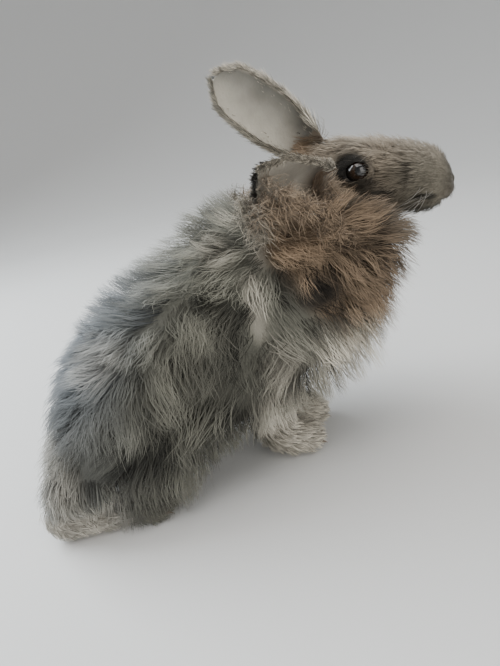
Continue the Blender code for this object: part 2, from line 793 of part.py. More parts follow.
def tube_between(name, start, end, half_sizes, collection, sides=12):
    """A straight oval bar between two places, in metres; half sizes are level and upright."""
    rows = [(*(start / MM), *half_sizes), (*(end / MM), *half_sizes)]
    rows.insert(1, tuple((np.array(rows[0]) + np.array(rows[1])) / 2))
    return tube_along(name, rows, 3, sides, collection)


def make_eyes(parts):
    for name, side in (("eye_left", 1), ("eye_right", -1)):
        x, y, z = EYE_PLACE
        place = head_point(x, side * y, z)
        ball(name, place, [EYE_RADIUS] * 3, parts, head_frame(), *EYE_FACETS)


def shank_space(side, cutters):
    """Clear space in the torso for the shank, which reaches out of the leg's cell."""
    rows = [(x, side * y, z, w, d) for x, y, z, w, d in SHANK]
    socket = tube_along("shank_space", rows, 9, LEG_SIDES, cutters, 2 * GAP / MM)
    hide_cutter(socket)
    return socket


def stand_at_origin(parts):
    """Move every part so that the model's box stands centred over the origin."""
    corners = np.array([tuple(v.co) for obj in parts.objects for v in obj.data.vertices])
    low, high = corners.min(axis=0), corners.max(axis=0)
    shift = Vector((-(low[0] + high[0]) / 2, -(low[1] + high[1]) / 2, 0))
    for obj in parts.objects:
        obj.data.transform(Matrix.Translation(shift))


def main():
    clear_scene()
    parts = new_collection("angora_rabbit")
    cutters = new_collection("cutters")
    floor = half_space("floor", (0, 0, 0), (0, 0, 1), cutters)

    torso, neck, hindlegs = part_body(make_body(parts), parts, cutters)
    for leg, side in zip(hindlegs, (1, -1)):
        finish_hindleg(leg, side, floor, parts)
        boolean(torso, "DIFFERENCE", shank_space(side, cutters))

    for name, side in (("foreleg_left", 1), ("foreleg_right", -1)):
        hull = make_foreleg(name, side, floor, parts, cutters)
        for piece in (torso, neck, *hindlegs):
            boolean(piece, "DIFFERENCE", hull)

    tail = make_tail(parts)
    boolean(tail, "INTERSECT", tail_cell(0, cutters))
    boolean(torso, "DIFFERENCE", tail_cell(GAP, cutters))

    head = make_head(parts)
    make_eyes(parts)
    head_hull = head_loft("head_hull", cutters, GAP / MM)
    hide_cutter(head_hull)
    boolean(neck, "DIFFERENCE", grown_copy(head, "head_space", GAP, cutters))
    for name in EARS:
        ear = make_ear(name, parts)
        ear_space = grown_copy(ear, name + "_space", GAP, cutters)
        boolean(neck, "DIFFERENCE", ear_space)
        boolean(ear, "DIFFERENCE", head_hull)
        keep_largest(ear)

    for obj in parts.objects:
        keep_largest(obj)
        give_material(obj, obj.name.split("_")[0])
    stand_at_origin(parts)


main()
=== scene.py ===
"""Dresses the young angora rabbit: one skin, its woolly coat, eyes, whiskers and claws.

Lengths in the tables are in millimetres in the maker's frame: the rabbit faces +X, its right
side is -Y and the floor is Z = 0. SHIFT carries that frame onto the solids.
"""

import math

import bpy
import numpy as np
from bpy.props import FloatProperty, FloatVectorProperty, IntProperty, PointerProperty
from mathutils import Matrix, Vector


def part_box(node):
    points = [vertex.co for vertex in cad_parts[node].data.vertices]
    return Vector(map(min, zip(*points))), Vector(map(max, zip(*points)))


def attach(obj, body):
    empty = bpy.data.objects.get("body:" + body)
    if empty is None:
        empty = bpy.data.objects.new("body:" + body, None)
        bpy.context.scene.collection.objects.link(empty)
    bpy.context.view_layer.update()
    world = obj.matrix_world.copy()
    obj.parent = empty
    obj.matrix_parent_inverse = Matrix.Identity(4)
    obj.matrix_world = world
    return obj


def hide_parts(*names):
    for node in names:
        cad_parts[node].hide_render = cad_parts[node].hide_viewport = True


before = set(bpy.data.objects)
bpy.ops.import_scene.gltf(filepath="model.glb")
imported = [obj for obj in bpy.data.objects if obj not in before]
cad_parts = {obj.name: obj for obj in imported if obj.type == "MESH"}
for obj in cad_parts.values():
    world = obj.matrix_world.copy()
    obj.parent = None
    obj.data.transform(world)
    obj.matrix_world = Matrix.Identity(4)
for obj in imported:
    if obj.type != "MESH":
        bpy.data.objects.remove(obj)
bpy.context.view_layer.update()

bl_info = {
    "name": "Young angora rabbit",
    "version": (1, 0, 0),
    "blender": (4, 5, 0),
    "location": "View3D > Sidebar > Rabbit",
    "description": "Builds the skin, coat, eyes, whiskers and claws of a life-size angora rabbit",
    "category": "Object",
}

MM = 0.001
GOLDEN_ANGLE = math.pi * (3 - math.sqrt(5))
SIDES = {"left": 1, "right": -1}
# Triangles that a piece of coat stays under, size of a strand's patch on the bake map, and how
# much more a strand's normals follow the coat than its own roundness
PIECE_LIMIT = 200000
BAKE_PATCH = 0.003
NORMAL_SOFTNESS = 3.0

# Tips of the coat along the spine: x, y, z, tilt in degrees, half width, rise, drop
SPINE = np.array([
    (-99, 1, 40, -40, 8, 8, 8),
    (-94, 1, 50, -32, 37, 34, 20),
    (-80, 1, 60, -15, 57, 48, 36),
    (-52, 1, 72, 8, 67, 47, 64),
    (-18, 0, 90, 20, 69, 51, 76),
    (20, -1, 102, 21, 66, 55, 77),
    (56, -2, 115, 26, 64, 61, 70),
    (86, -3, 130, 36, 62, 55, 64),
    (100, -4, 144, 46, 57, 37, 52),
    (119, -5, 156, 52, 42, 31, 34),
    (130, -6, 161, 55, 8, 6, 8),
], float)
UPPER_POWER = 2.3
LOWER_POWER = 3.2
# Lowest level that the tips of the wool reach, at places along X
WOOL_FLOOR = ((-100, -88, -70, -30, -9, 13, 97, 130), (16, 12, 3, 2, 12, 38, 52, 72))

# Head: middle between the eyes, its turn in degrees, and sections along its forward axis
HEAD_PLACE = np.array((129, -4, 165), float)
HEAD_YAW, HEAD_PITCH, HEAD_ROLL = -26, -6, -4
HEAD_SECTIONS = np.array([
    (-39, -6, 5, 5, 5),
    (-36, -6, 14, 15, 14),
    (-26, -5, 20, 23, 23),
    (-10, -4, 22, 25, 27),
    (5, -3, 21, 23.5, 25),
    (19, -2, 17.5, 21.5, 21),
    (32, -2, 15, 19.5, 17),
    (43, -3, 13.5, 16.5, 13.5),
    (50, -6, 10.5, 11.5, 9),
    (53, -8, 4, 4, 4),
], float)
HEAD_POWER = 2.15
HEAD_REACH = (-36, 52)
EYE_PLACE = np.array((1.0, 16.2, 5.0))
EYE_RADIUS = 7.5
SOCKET_GAP = 0.25
# Rounded forms on the head: place, radii; those of the first table lie on both sides
HEAD_PAIRS = [
    ((1.0, 16.0, 5.0), (9.4, 8.9, 8.6)),
    ((4.0, 12.5, 12.5), (11, 6, 5)),
    ((-6, 10, -12), (16, 11, 13)),
    ((40, 6.2, -9.5), (10, 6.8, 7)),
]
HEAD_SINGLES = [
    ((35, 0, -15), (11.5, 7.5, 5.2)),
    ((49, 0, -4), (4.4, 4.6, 4.6)),
]

# Ears: root, tip, bow of the middle, way the cup faces
EARS = {
    "left": np.array([(106, 5, 186), (57, 4, 235), (1, 0, 1), (0.05, -0.93, -0.20)], float),
    "right": np.array([(100, -23, 176), (60, -60, 188), (-4, -8, -4), (0.10, -0.75, -0.62)], float),
}
EAR_WIDTHS = np.array([[8], [11.5], [14], [15], [14.5], [12.5], [8.5]], float)
EAR_THICKNESS = 1.7
EAR_CUP = 0.35
EAR_BASE_CURL = 0.5
EAR_BEND = 1.2
EAR_ROUND_TIP = 0.14

# Legs: middles of the sections (x, y, z), half width, half depth
FORELEG = np.array([
    (62, 17, 90, 15, 17), (56, 17, 72, 14, 16), (49, 17.5, 50, 12.5, 14), (45, 18, 34, 12, 13.5),
    (46, 18, 21, 12.5, 14), (54, 18, 13, 13.5, 13.5), (64, 18, 11, 14, 12), (72, 18, 8, 11, 8.5),
    (75, 18, 7, 5, 4.5),
], float)
FAR_PAW = (12, 8)
HIND_FOOT = np.array([
    (-105, 38, 9, 4, 5), (-101, 38.5, 11, 9, 10), (-91, 39, 11, 11, 12), (-75, 39.5, 9.5, 11.5, 10.5),
    (-55, 40, 8.5, 12, 9.5), (-42, 40.5, 7.5, 12, 8.5), (-32, 40.5, 5.5, 9, 6), (-28, 40.5, 5, 4, 3.5),
], float)
SHANK = np.array([
    (-100, 38, 16, 6, 7), (-92, 38, 20, 10, 11), (-82, 39, 32, 14, 15), (-70, 40, 46, 19, 20),
    (-58, 40, 60, 20, 22), (-50, 39, 70, 10, 10),
], float)
TOE_RADII = (8.5, 4.6, 4.6)
TOE_SPREAD = (-0.72, -0.25, 0.25, 0.72)
TAIL = np.array([
    (-60, 2, 46, 9, 8), (-71, 2, 46, 9, 8), (-80, 2, 49, 8.5, 8), (-86, 2, 56, 7, 7),
    (-89, 2, 61, 4, 4), (-90, 2, 63, 1, 1),
], float)
TAIL_MIDDLE = (-82, 2, 54)
# Line round the roots of the ears on which the ear bed's puffs of wool stand
EAR_BED_LINE = np.array([
    (114, -38, 144), (102, -49, 150), (89, -57, 163), (76, -60, 171), (64, -59, 171),
    (57, -54, 169), (54, -44, 168), (60, -26, 170),
], float)

# Painted shade in the clefts of the wool, then pale tufts: share, place, radii, alike on both sides
PAINTED_CLEFT_SHADE = [
    (0.93, (80, 60, 117), (15, 40, 10)),
    (0.65, (63, 60, 124), (6, 40, 16)),
    (0.65, (26, 66, 110), (9, 40, 22)),
    (0.22, (0, 66, 122), (20, 40, 9)),
    (0.55, (10, 66, 96), (13, 40, 14)),
    (0.45, (-40, 60, 40), (26, 40, 12)),
    (0.35, (94, 60, 142), (8, 40, 4)),
    (0.35, (76, 60, 150), (9, 40, 3)),
    (0.30, (104, 60, 128), (6, 40, 6)),
]
# Pale tufts: partly the wool's own cream tufts, partly painted light where the shoulders, back and rump catch
# the light
PALE_TUFTS_AND_PAINTED_LIGHT = [
    (0.55, (42, 55, 171), (15, 30, 9)),
    (0.60, (54, 62, 150), (6, 35, 14)),
    (0.50, (45, 66, 120), (6, 35, 24)),
    (0.40, (56, 60, 76), (16, 35, 18)),
    (0.55, (88, 45, 72), (24, 45, 16)),
    (0.50, (-86, 35, 48), (16, 60, 26)),
    (0.35, (28, 60, 156), (14, 30, 12)),
    (0.25, (-50, 50, 112), (22, 40, 14)),
]

# Dark marks of the face: the dark fur round the eye and a darker cheek, with painted shade under the eye,
# along the jaw, in the crease of the whisker pad and at the corner of the mouth: share, place in the head's
# axes on either side, radii
FACE_MARKS_AND_PAINTED_SHADE = [
    (0.97, (-3, 18, 7), (11.5, 17, 9)),
    (0.80, (4, 19, -3), (8, 9, 6)),
    (0.60, (26, 15, 2), (3, 9, 7)),
    (0.40, (15, 17, -4), (15, 9, 11)),
    (0.93, (11, 19, -9), (9.5, 9, 4)),
    (0.85, (37, 11, -11.5), (7, 7, 2.0)),
]

# Camera in the maker's frame
CAMERA_PLACE = (18.692, -295.885, 205.0)
CAMERA_RIGHT = (0.96331784, -0.16886943, -0.20857099)
CAMERA_UP = (0.25590737, 0.34401072, 0.90342019)
CAMERA_AHEAD = (0.0808094, 0.92365564, -0.37460659)
CAMERA_LENS = 26.49

# Root shade, roughness, sheen and bump of the skin and coat; the root shade darkens the roots, partly the
# wool's own darker roots and partly painted shade deep in the coat
COAT_FINISHES = {
    "skin_under_wool": (0.55, 0.85, 0.10, 0.6),
    "wool": (0.30, 0.90, 0.12, 0),
    "wool_bed": (0.50, 0.90, 0.12, 0),
    "short_fur": (0.50, 0.85, 0.08, 0),
}
# Soft lamps in metres: name, place, aim, size, power, colour
LAMPS = [
    ("window", (-0.75, 0.45, 0.85), (-0.02, 0, 0.1), 0.9, 20, (0.90, 0.96, 1.0)),
    ("ceiling", (0.0, -0.45, 1.5), (0.02, 0, 0.1), 1.2, 16, (1.0, 0.98, 0.95)),
    ("front", (0.45, -1.1, 0.42), (0.02, 0, 0.07), 1.0, 7, (1.0, 0.97, 0.93)),
]
FLOOR_SIDES = 96

# Seeds of the random draws
BODY_SEED, HEAD_SEED, EAR_SEED, LEG_SEED, WHISKER_SEED, BED_SEED, ENDS_SEED = 5, 21, 31, 41, 51, 61, 71


class RabbitSettings(bpy.types.PropertyGroup):
    wool_depth: FloatProperty(
        name="Wool depth", description="Depth of the skin under the tips of the wool",
        default=0.015, min=0.008, max=0.02, subtype="DISTANCE", unit="LENGTH")
    back_length: FloatProperty(
        name="Wool on the back", description="Length of the locks along the back",
        default=0.017, min=0.01, max=0.06, subtype="DISTANCE", unit="LENGTH")
    flank_length: FloatProperty(
        name="Wool on the flanks", description="Length of the locks that hang on the flanks",
        default=0.022, min=0.01, max=0.08, subtype="DISTANCE", unit="LENGTH")
    ruff_length: FloatProperty(
        name="Wool of the ruff", description="Length of the locks round the neck",
        default=0.015, min=0.01, max=0.06, subtype="DISTANCE", unit="LENGTH")
    strand_width: FloatProperty(
        name="Strand width", description="Half width of one strand of wool",
        default=0.00016, min=0.0001, max=0.002, subtype="DISTANCE", unit="LENGTH")
    body_strands: IntProperty(
        name="Strands on the body", description="How many strands the woolly body carries",
        default=30000, min=1000, max=52000)
    clump_size: IntProperty(
        name="Strands in a wisp", description="How many strands draw together into one wisp",
        default=12, min=2, max=60)
    lock_size: IntProperty(
        name="Wisps in a lock", description="How many wisps draw together into one lock",
        default=8, min=1, max=40)
    olive: FloatVectorProperty(
        name="Olive cream", description="Wool of the shoulders and flanks",
        default=(0.200, 0.196, 0.160), size=3, min=0, max=1, subtype="COLOR")
    tan: FloatVectorProperty(
        name="Tan", description="Wool of the ruff", default=(0.285, 0.207, 0.138),
        size=3, min=0, max=1, subtype="COLOR")
    slate: FloatVectorProperty(
        name="Slate", description="Bluish wool of the loin and rump",
        default=(0.20, 0.225, 0.25), size=3, min=0, max=1, subtype="COLOR")
    cream: FloatVectorProperty(
        name="Cream", description="Pale fur of the paws, the breast and the rims of the ears",
        default=(0.66, 0.61, 0.51), size=3, min=0, max=1, subtype="COLOR")
    # The dark colour serves the dark fur round the eye and painted shade at the mouth, in the clefts and
    # under the body
    dark: FloatVectorProperty(
        name="Dark", description="Dark marks round the eye, at the mouth and in the clefts",
        default=(0.022, 0.020, 0.017), size=3, min=0, max=1, subtype="COLOR")
    eye: FloatVectorProperty(
        name="Eye", description="Iris", default=(0.030, 0.017, 0.010),
        size=3, min=0, max=1, subtype="COLOR")
    claw: FloatVectorProperty(
        name="Claw", description="Horn of the claws", default=(0.16, 0.12, 0.09),
        size=3, min=0, max=1, subtype="COLOR")
    floor: FloatVectorProperty(
        name="Floor", description="Plain floor and backdrop", default=(0.72, 0.72, 0.71),
        size=3, min=0, max=1, subtype="COLOR")


# Shapes
def unit(vectors):
    """Each vector divided by its length."""
    return vectors / np.maximum(np.linalg.norm(vectors, axis=-1, keepdims=True), 1e-12)


def square_to(vectors, axes):
    """What is left of each vector without its share along its axis."""
    return vectors - axes * np.sum(vectors * axes, axis=-1, keepdims=True)


def columns(*parts):
    """Arrays or numbers set side by side, as the last axis of one array."""
    return np.stack(np.broadcast_arrays(*parts), axis=-1)


def full_turn(count):
    """Angles in equal steps round a circle, the end left out."""
    return np.linspace(0, 2 * math.pi, count, endpoint=False)


def folded(points):
    """Places with the right side laid over the left, for tables that hold on both sides."""
    return columns(points[..., 0], np.abs(points[..., 1]), points[..., 2])


def smooth_rows(rows, places):
    """Read a table of rows at places from 0 to 1, by a Catmull-Rom curve through its rows."""
    ends = np.vstack([2 * rows[0] - rows[1], rows, 2 * rows[-1] - rows[-2]])
    along = np.clip(np.asarray(places, float), 0, 1) * (len(rows) - 1)
    index = np.minimum(along.astype(int), len(rows) - 2)
    t = (along - index)[..., None]
    p0, p1, p2, p3 = (ends[index + step] for step in range(4))
    bend = (2 * p0 - 5 * p1 + 4 * p2 - p3) * t ** 2 + (3 * p1 - p0 - 3 * p2 + p3) * t ** 3
    return 0.5 * (2 * p1 + (p2 - p0) * t + bend)


def round_section(angle, upper, lower):
    """A superellipse: sine and cosine of the angle, each to the power of 2 over its fullness."""
    power = np.where(np.cos(angle) < 0, lower, upper)
    side = np.sign(np.sin(angle)) * np.abs(np.sin(angle)) ** (2 / power)
    up = np.sign(np.cos(angle)) * np.abs(np.cos(angle)) ** (2 / power)
    return side, up


def body_surface(place, angle, rows=SPINE):
    """The body: superellipses on tilted planes along the spine; angle 0 is on the back."""
    x, y, z, tilt, width, rise, drop = np.moveaxis(smooth_rows(rows, place), -1, 0)
    side, up = round_section(angle, UPPER_POWER, LOWER_POWER)
    height = up * np.where(up > 0, rise, drop)
    lean = np.radians(tilt)
    return np.stack([x - height * np.sin(lean), y + width * side, z + height * np.cos(lean)], -1)


def body_slopes(place, angle):
    """Central differences of the body's surface along the spine and round it."""
    small = 1e-3
    along = body_surface(place + small, angle) - body_surface(place - small, angle)
    around = body_surface(place, angle + small) - body_surface(place, angle - small)
    return along / (2 * small), around / (2 * small)


def tube_surface(rows, rings, sides):
    """Ellipses round a smooth path through the rows, square to the path."""
    table = smooth_rows(rows, np.linspace(0, 1, rings))
    middles = table[:, :3]
    ahead = unit(np.gradient(middles, axis=0))
    left = np.cross((0, 0, 1), ahead)
    left[np.linalg.norm(left, axis=1) < 0.35] = (0, 1, 0)
    left = square_to(left, ahead)
    left = unit(left) * np.sign(left[:, 1:2])
    over = np.cross(ahead, left)
    angle = full_turn(sides)[None, :, None]
    return (middles[:, None] + left[:, None] * np.sin(angle) * table[:, 3, None, None]
            + over[:, None] * np.cos(angle) * table[:, 4, None, None])


def closed_grid(grid):
    """Triangles of a closed body from rings of points, with a pole in each end ring's middle.

    They are turned round if the signed volume is negative.
    """
    rings, sides = grid.shape[:2]
    points = np.vstack([grid.reshape(-1, 3), grid[0].mean(axis=0), grid[-1].mean(axis=0)])
    i = np.arange(sides)
    j = (i + 1) % sides
    base = (np.arange(rings - 1) * sides)[:, None]
    a, b, c, d = base + i, base + j, base + sides + j, base + sides + i
    first, last = rings * sides, rings * sides + 1
    end = (rings - 1) * sides
    faces = np.vstack([columns(a, b, c).reshape(-1, 3), columns(a, c, d).reshape(-1, 3),
                       columns(first, j, i), columns(last, end + i, end + j)])
    p, q, r = (points[faces[:, k]] for k in range(3))
    inside_out = np.sum(np.cross(p, q) * r) < 0
    return points, faces[:, ::-1] if inside_out else faces


def ellipsoid(place, radii, turn=np.eye(3), rings=24, sides=32):
    """A sphere's grid of heights and angles, stretched by the radii, turned and set in place."""
    height = np.linspace(0.02, math.pi - 0.02, rings)[:, None]
    angle = full_turn(sides)
    ball = columns(np.sin(height) * np.cos(angle), np.sin(height) * np.sin(angle), np.cos(height)) * radii
    return closed_grid(np.asarray(place) + ball @ np.asarray(turn).T)


HEAD_TURN = np.array(Matrix.Rotation(math.radians(HEAD_YAW), 3, "Z")
                     @ Matrix.Rotation(-math.radians(HEAD_PITCH), 3, "Y")
                     @ Matrix.Rotation(math.radians(HEAD_ROLL), 3, "X"))


def from_head(local):
    return HEAD_PLACE + np.asarray(local, float) @ HEAD_TURN.T


def to_head(points):
    return (points - HEAD_PLACE) @ HEAD_TURN


RIGHT_EYE = from_head(EYE_PLACE * (1, -1, 1))
SHIFT = sum(np.array(corner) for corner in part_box("eye_right")) / 2 / MM - RIGHT_EYE


def ear_line(side, t):
    """A parabola from the ear's root to its tip, bowed at the middle, and its direction."""
    root, tip, bow, _ = EARS[side]
    middle = (root + tip) / 2 + bow
    axis = root * (1 - t) ** 2 + 2 * middle * t * (1 - t) + tip * t ** 2
    return axis, unit(2 * (middle - root) * (1 - t) + 2 * (tip - middle) * t)


def up_ear(points, side):
    """How far places lie up an ear, from 0 at its root to 1 at its tip."""
    root, tip = EARS[side][:2]
    axis = tip - root
    return (points - root) @ axis / (axis @ axis)


def ear_surface(side, along, spread):
    """A leaf: a bowed midrib, half widths across it, and a cup that rises with spread squared."""
    t, s = along[..., None], spread[..., None]
    axis, ahead = ear_line(side, t)
    across = unit(np.cross(EARS[side][3], ahead))
    front = np.cross(ahead, across)
    width = smooth_rows(EAR_WIDTHS, along) * np.sqrt(np.clip((1.0 - t) / EAR_ROUND_TIP, 0, 1))
    curl = (EAR_CUP + EAR_BASE_CURL * (1 - t) ** 2) * width
    point = axis + across * width * np.sin(s * EAR_BEND) / math.sin(EAR_BEND) + front * curl * s ** 2
    return point, ahead, across, front


def ear_normal(side, along, spread):
    """Central differences of the ear's surface up it and across it, and their cross product."""
    small = 1e-3
    up = ear_surface(side, along + small, spread)[0] - ear_surface(side, along - small, spread)[0]
    out = ear_surface(side, along, spread + small)[0] - ear_surface(side, along, spread - small)[0]
    return unit(np.cross(up, out))


def ear_leaf(side, rings=60, sides=52):
    """The leaf with its thickness: front and back sheets, thinner at the rim, joined round it."""
    along, loop = np.meshgrid(np.linspace(0, 0.995, rings), full_turn(sides), indexing="ij")
    spread = np.cos(loop) * 0.995
    half = EAR_THICKNESS / 2 * np.sin(loop)
    normal = ear_normal(side, along, np.clip(spread, -0.98, 0.98))
    return closed_grid(ear_surface(side, along, spread)[0] + normal * half[..., None])


def leg_rows(table, side, lead=0.0, inward=0.0):
    """A leg's table on one side, led forward and inward over its first four sections."""
    rows = table.copy()
    rows[:, 1] *= side
    share = np.minimum(1, np.arange(len(rows)) / 4)
    rows[:, 0] += lead * share
    rows[:, 1] -= inward * share
    return rows


def foreleg_rows(side):
    return leg_rows(FORELEG, side, FAR_PAW[0], FAR_PAW[1]) if side > 0 else leg_rows(FORELEG, side)


def toe_places(rows):
    """Middles of the four toes on an arc at the end of a leg's table."""
    x, y, z, width = rows[-3][:4]
    share = np.array(TOE_SPREAD)
    return np.stack([x + 3 - 4 * share ** 2, y + share * width, np.full(4, z - 3)], -1)


# Meshes
def new_mesh_object(name, points, faces):
    """Put points (millimetres, maker's frame) and triangles into a smooth mesh at the origin."""
    points = (points + SHIFT) * MM
    mesh = bpy.data.meshes.new(name)
    mesh.vertices.add(len(points))
    mesh.vertices.foreach_set("co", points.astype(np.float32).ravel())
    mesh.loops.add(len(faces) * 3)
    mesh.loops.foreach_set("vertex_index", faces.astype(np.int32).ravel())
    mesh.polygons.add(len(faces))
    mesh.polygons.foreach_set("loop_start", np.arange(0, len(faces) * 3, 3, dtype=np.int32))
    mesh.polygons.foreach_set("use_smooth", np.full(len(faces), True))
    mesh.update(calc_edges=True)
    old = bpy.data.objects.get(name)
    if old:
        bpy.data.objects.remove(old, do_unlink=True)
    obj = bpy.data.objects.new(name, mesh)
    bpy.context.scene.collection.objects.link(obj)
    return obj


def joined(parts):
    """Several bodies as one list of points and triangles."""
    starts = np.cumsum([0] + [len(points) for points, _ in parts[:-1]])
    return (np.vstack([points for points, _ in parts]),
            np.vstack([faces + start for (_, faces), start in zip(parts, starts)]))


def apply_modifiers(obj):
    bpy.context.view_layer.update()
    evaluated = obj.evaluated_get(bpy.context.evaluated_depsgraph_get())
    mesh = bpy.data.meshes.new_from_object(evaluated)
    old = obj.data
    obj.modifiers.clear()
    obj.data = mesh
    bpy.data.meshes.remove(old)


def fuse(obj, voxel, smoothing):
    """Make one closed surface of overlapping bodies, then smooth it."""
    remesh = obj.modifiers.new("fuse", "REMESH")
    remesh.mode = "VOXEL"
    remesh.voxel_size = voxel * MM
    smooth = obj.modifiers.new("smooth", "SMOOTH")
    smooth.factor = 0.5
    smooth.iterations = smoothing
    apply_modifiers(obj)


def combine(obj, other, operation):
    """Join or cut one closed body by another, which is then removed."""
    modifier = obj.modifiers.new(operation.lower(), "BOOLEAN")
    modifier.operation = operation
    modifier.solver = "MANIFOLD"
    modifier.object = other
    apply_modifiers(obj)
    bpy.data.objects.remove(other, do_unlink=True)


def read_vertices(obj, field):
    values = np.empty(len(obj.data.vertices) * 3, np.float32)
    obj.data.vertices.foreach_get(field, values)
    return values.reshape(-1, 3).astype(float)


def read_points(obj):
    return read_vertices(obj, "co") / MM - SHIFT


def write_points(obj, points):
    obj.data.vertices.foreach_set("co", ((points + SHIFT) * MM).astype(np.float32).ravel())
    obj.data.update()


def skin_surface():
    """The skin's points, normals and triangles, and each triangle's middle and slope."""
    skin = bpy.data.objects["skin"]
    skin.data.calc_loop_triangles()
    faces = np.empty(len(skin.data.loop_triangles) * 3, np.int32)
    skin.data.loop_triangles.foreach_get("vertices", faces)
    faces = faces.reshape(-1, 3)
    points, normals = read_points(skin), read_vertices(skin, "normal")
    return (points, normals, faces), points[faces].mean(axis=1), normals[faces].mean(axis=1)


def set_attribute(obj, name, kind, values):
    """A value, vector or colour for each vertex."""
    field = {"FLOAT": "value", "FLOAT_VECTOR": "vector", "FLOAT_COLOR": "color"}[kind]
    attribute = obj.data.attributes.new(name, kind, "POINT")
    attribute.data.foreach_set(field, values.astype(np.float32).ravel())


def set_marks(obj, marks, lay):
    """Tan, cream and slate as a colour, the dark share as a value, and the lay as a vector."""
    set_attribute(obj, "lay", "FLOAT_VECTOR", lay)
    set_attribute(obj, "markings", "FLOAT_COLOR", columns(*marks.T[:3], 1.0))
    set_attribute(obj, "dark_share", "FLOAT", marks[:, 3])


def set_uv(obj, name, uv):
    """A UV map from one place for each vertex."""
    index = np.empty(len(obj.data.loops), np.int32)
    obj.data.loops.foreach_get("vertex_index", index)
    layer = obj.data.uv_layers.new(name=name)
    layer.data.foreach_set("uv", uv[index].astype(np.float32).ravel())


# Markings
def soft(values, start, end):
    """A smooth step from 0 at the start to 1 at the end."""
    t = np.clip((values - start) / (end - start), 0, 1)
    return t * t * (3 - 2 * t)


def near(points, place, radii, start=0.5, end=1.35):
    """A patch that is 1 up to one share of its radii and fades to 0 at another."""
    return 1 - soft(np.linalg.norm((points - np.array(place)) / np.array(radii), axis=-1), start, end)


def markings(points):
    """Shares of tan, cream, slate and dark at places on the rabbit, on its coat or skin. The dark share holds
    painted shade in clefts, under the head and on the lower flank as well as the dark marks; the cream and
    slate shares also hold painted light.
    """
    x, z = points[..., 0], points[..., 2]
    local = to_head(points)
    face, flank = folded(local), folded(points)
    lx, lz = local[..., 0], local[..., 2]
    head = soft(lx, -34, -20) * (1 - soft(np.linalg.norm(local / (60, 32, 40), axis=-1), 0.85, 1.05))
    ruff = soft(x - 0.6 * np.maximum(0, 145 - z), 48, 62)
    breast = soft(x + 0.25 * (z - 130), 48, 74)
    low = 1 - soft(z, 74, 104)
    tan = ruff * (1 - 0.7 * low) * (1 - 0.4 * soft(x, 118, 150) * (1 - head))
    tan = tan * (1 - head) + head * (0.55 + 0.30 * soft(lz, 4, 18) - 0.30 * soft(lx, 10, 36))
    cream = breast * low * 0.9
    cream = np.maximum(cream, 1.0 * (1 - soft(z, 38, 66)) * soft(x, 20, 45))
    cream = np.maximum(cream, 0.80 * (1 - soft(z, 20, 32)) * (1 - soft(x, -75, -45)))
    cream = cream * (1 - head) + head * (0.05 + 0.30 * soft(lz, 2, 16))
    slate = (1 - soft(x - 0.35 * (z - 120), -65, 5)) * (0.35 + 0.65 * soft(z, 45, 120))
    slate = slate * (1 - soft(x, 10, 40)) + 0.35 * (1 - soft(x, -92, -70))
    # Painted bluish light on the hind feet and the lowest part of the rump
    slate = np.maximum(slate, (1 - soft(z, 18, 30)) * (1 - soft(x, -75, -45)))
    slate = np.clip(slate, 0, 1) * (1 - head)
    # Painted shade on the lower flank and under the belly, partly the inner wool's own darker tone
    dark = 0.34 * (1 - soft(z, 70, 125)) * (1 - soft(x, 30, 60)) * soft(x, -95, -70) * soft(z, 6, 20)
    # Painted shade in the ruff round and under the head
    dark = np.maximum(dark, 0.42 * soft(x, 96, 132) * soft(z, 85, 110) * (1 - head))
    # Painted shade on the lower half of the head, behind the muzzle
    dark = np.maximum(dark, head * 0.30 * soft(-lz, 0, 14) * (1 - soft(lx, 20, 40)))
    dark = np.maximum(dark, head * 0.6 * soft(lx, 42, 52))
    # Painted shade in the clefts of the wool
    for share, place, radii in PAINTED_CLEFT_SHADE:
        dark = np.maximum(dark, share * near(flank, place, radii))
    # Pale tufts, partly painted light, which also lift the dark share
    for share, place, radii in PALE_TUFTS_AND_PAINTED_LIGHT:
        pale = share * near(flank, place, radii)
        cream = np.maximum(cream, pale)
        dark = dark * (1 - pale)
    # Dark fur round the eye, and painted shade in the creases and clefts of the face
    for share, place, radii in FACE_MARKS_AND_PAINTED_SHADE:
        dark = np.maximum(dark, share * near(face, place, radii, 0.75, 1.2))
    # Painted shade under the chin
    dark = np.maximum(dark, head * 0.65 * soft(-lz, 13, 20) * soft(lx, 14, 30))
    return np.clip(columns(tan, cream, slate, dark), 0, 1)


# Coat
def wool_lie(points, normals):
    """Back along the spine, down and a little back on the flanks, forward round the ruff."""
    side = np.sign(points[:, 1:2])
    steep = np.clip(np.abs(normals[:, 1:2]) * 1.6, 0, 1)
    back = np.array([-1.0, 0, -0.1]) + side * np.array([0, 0.35, 0])
    lie = back * (1 - steep) + np.array([-0.28, 0, -0.96]) * steep
    front = np.clip((points[:, 0:1] - 62) / 30, 0, 1)
    high = soft(points[:, 2:3], 88, 125)
    forward = np.array([-0.15, 0, -1.0]) * (1 - high) + np.array([0.6, 0, -0.6]) * high
    lie = lie * (1 - front) + (forward + side * np.array([0, 0.25, 0])) * front
    return unit(square_to(lie, normals))


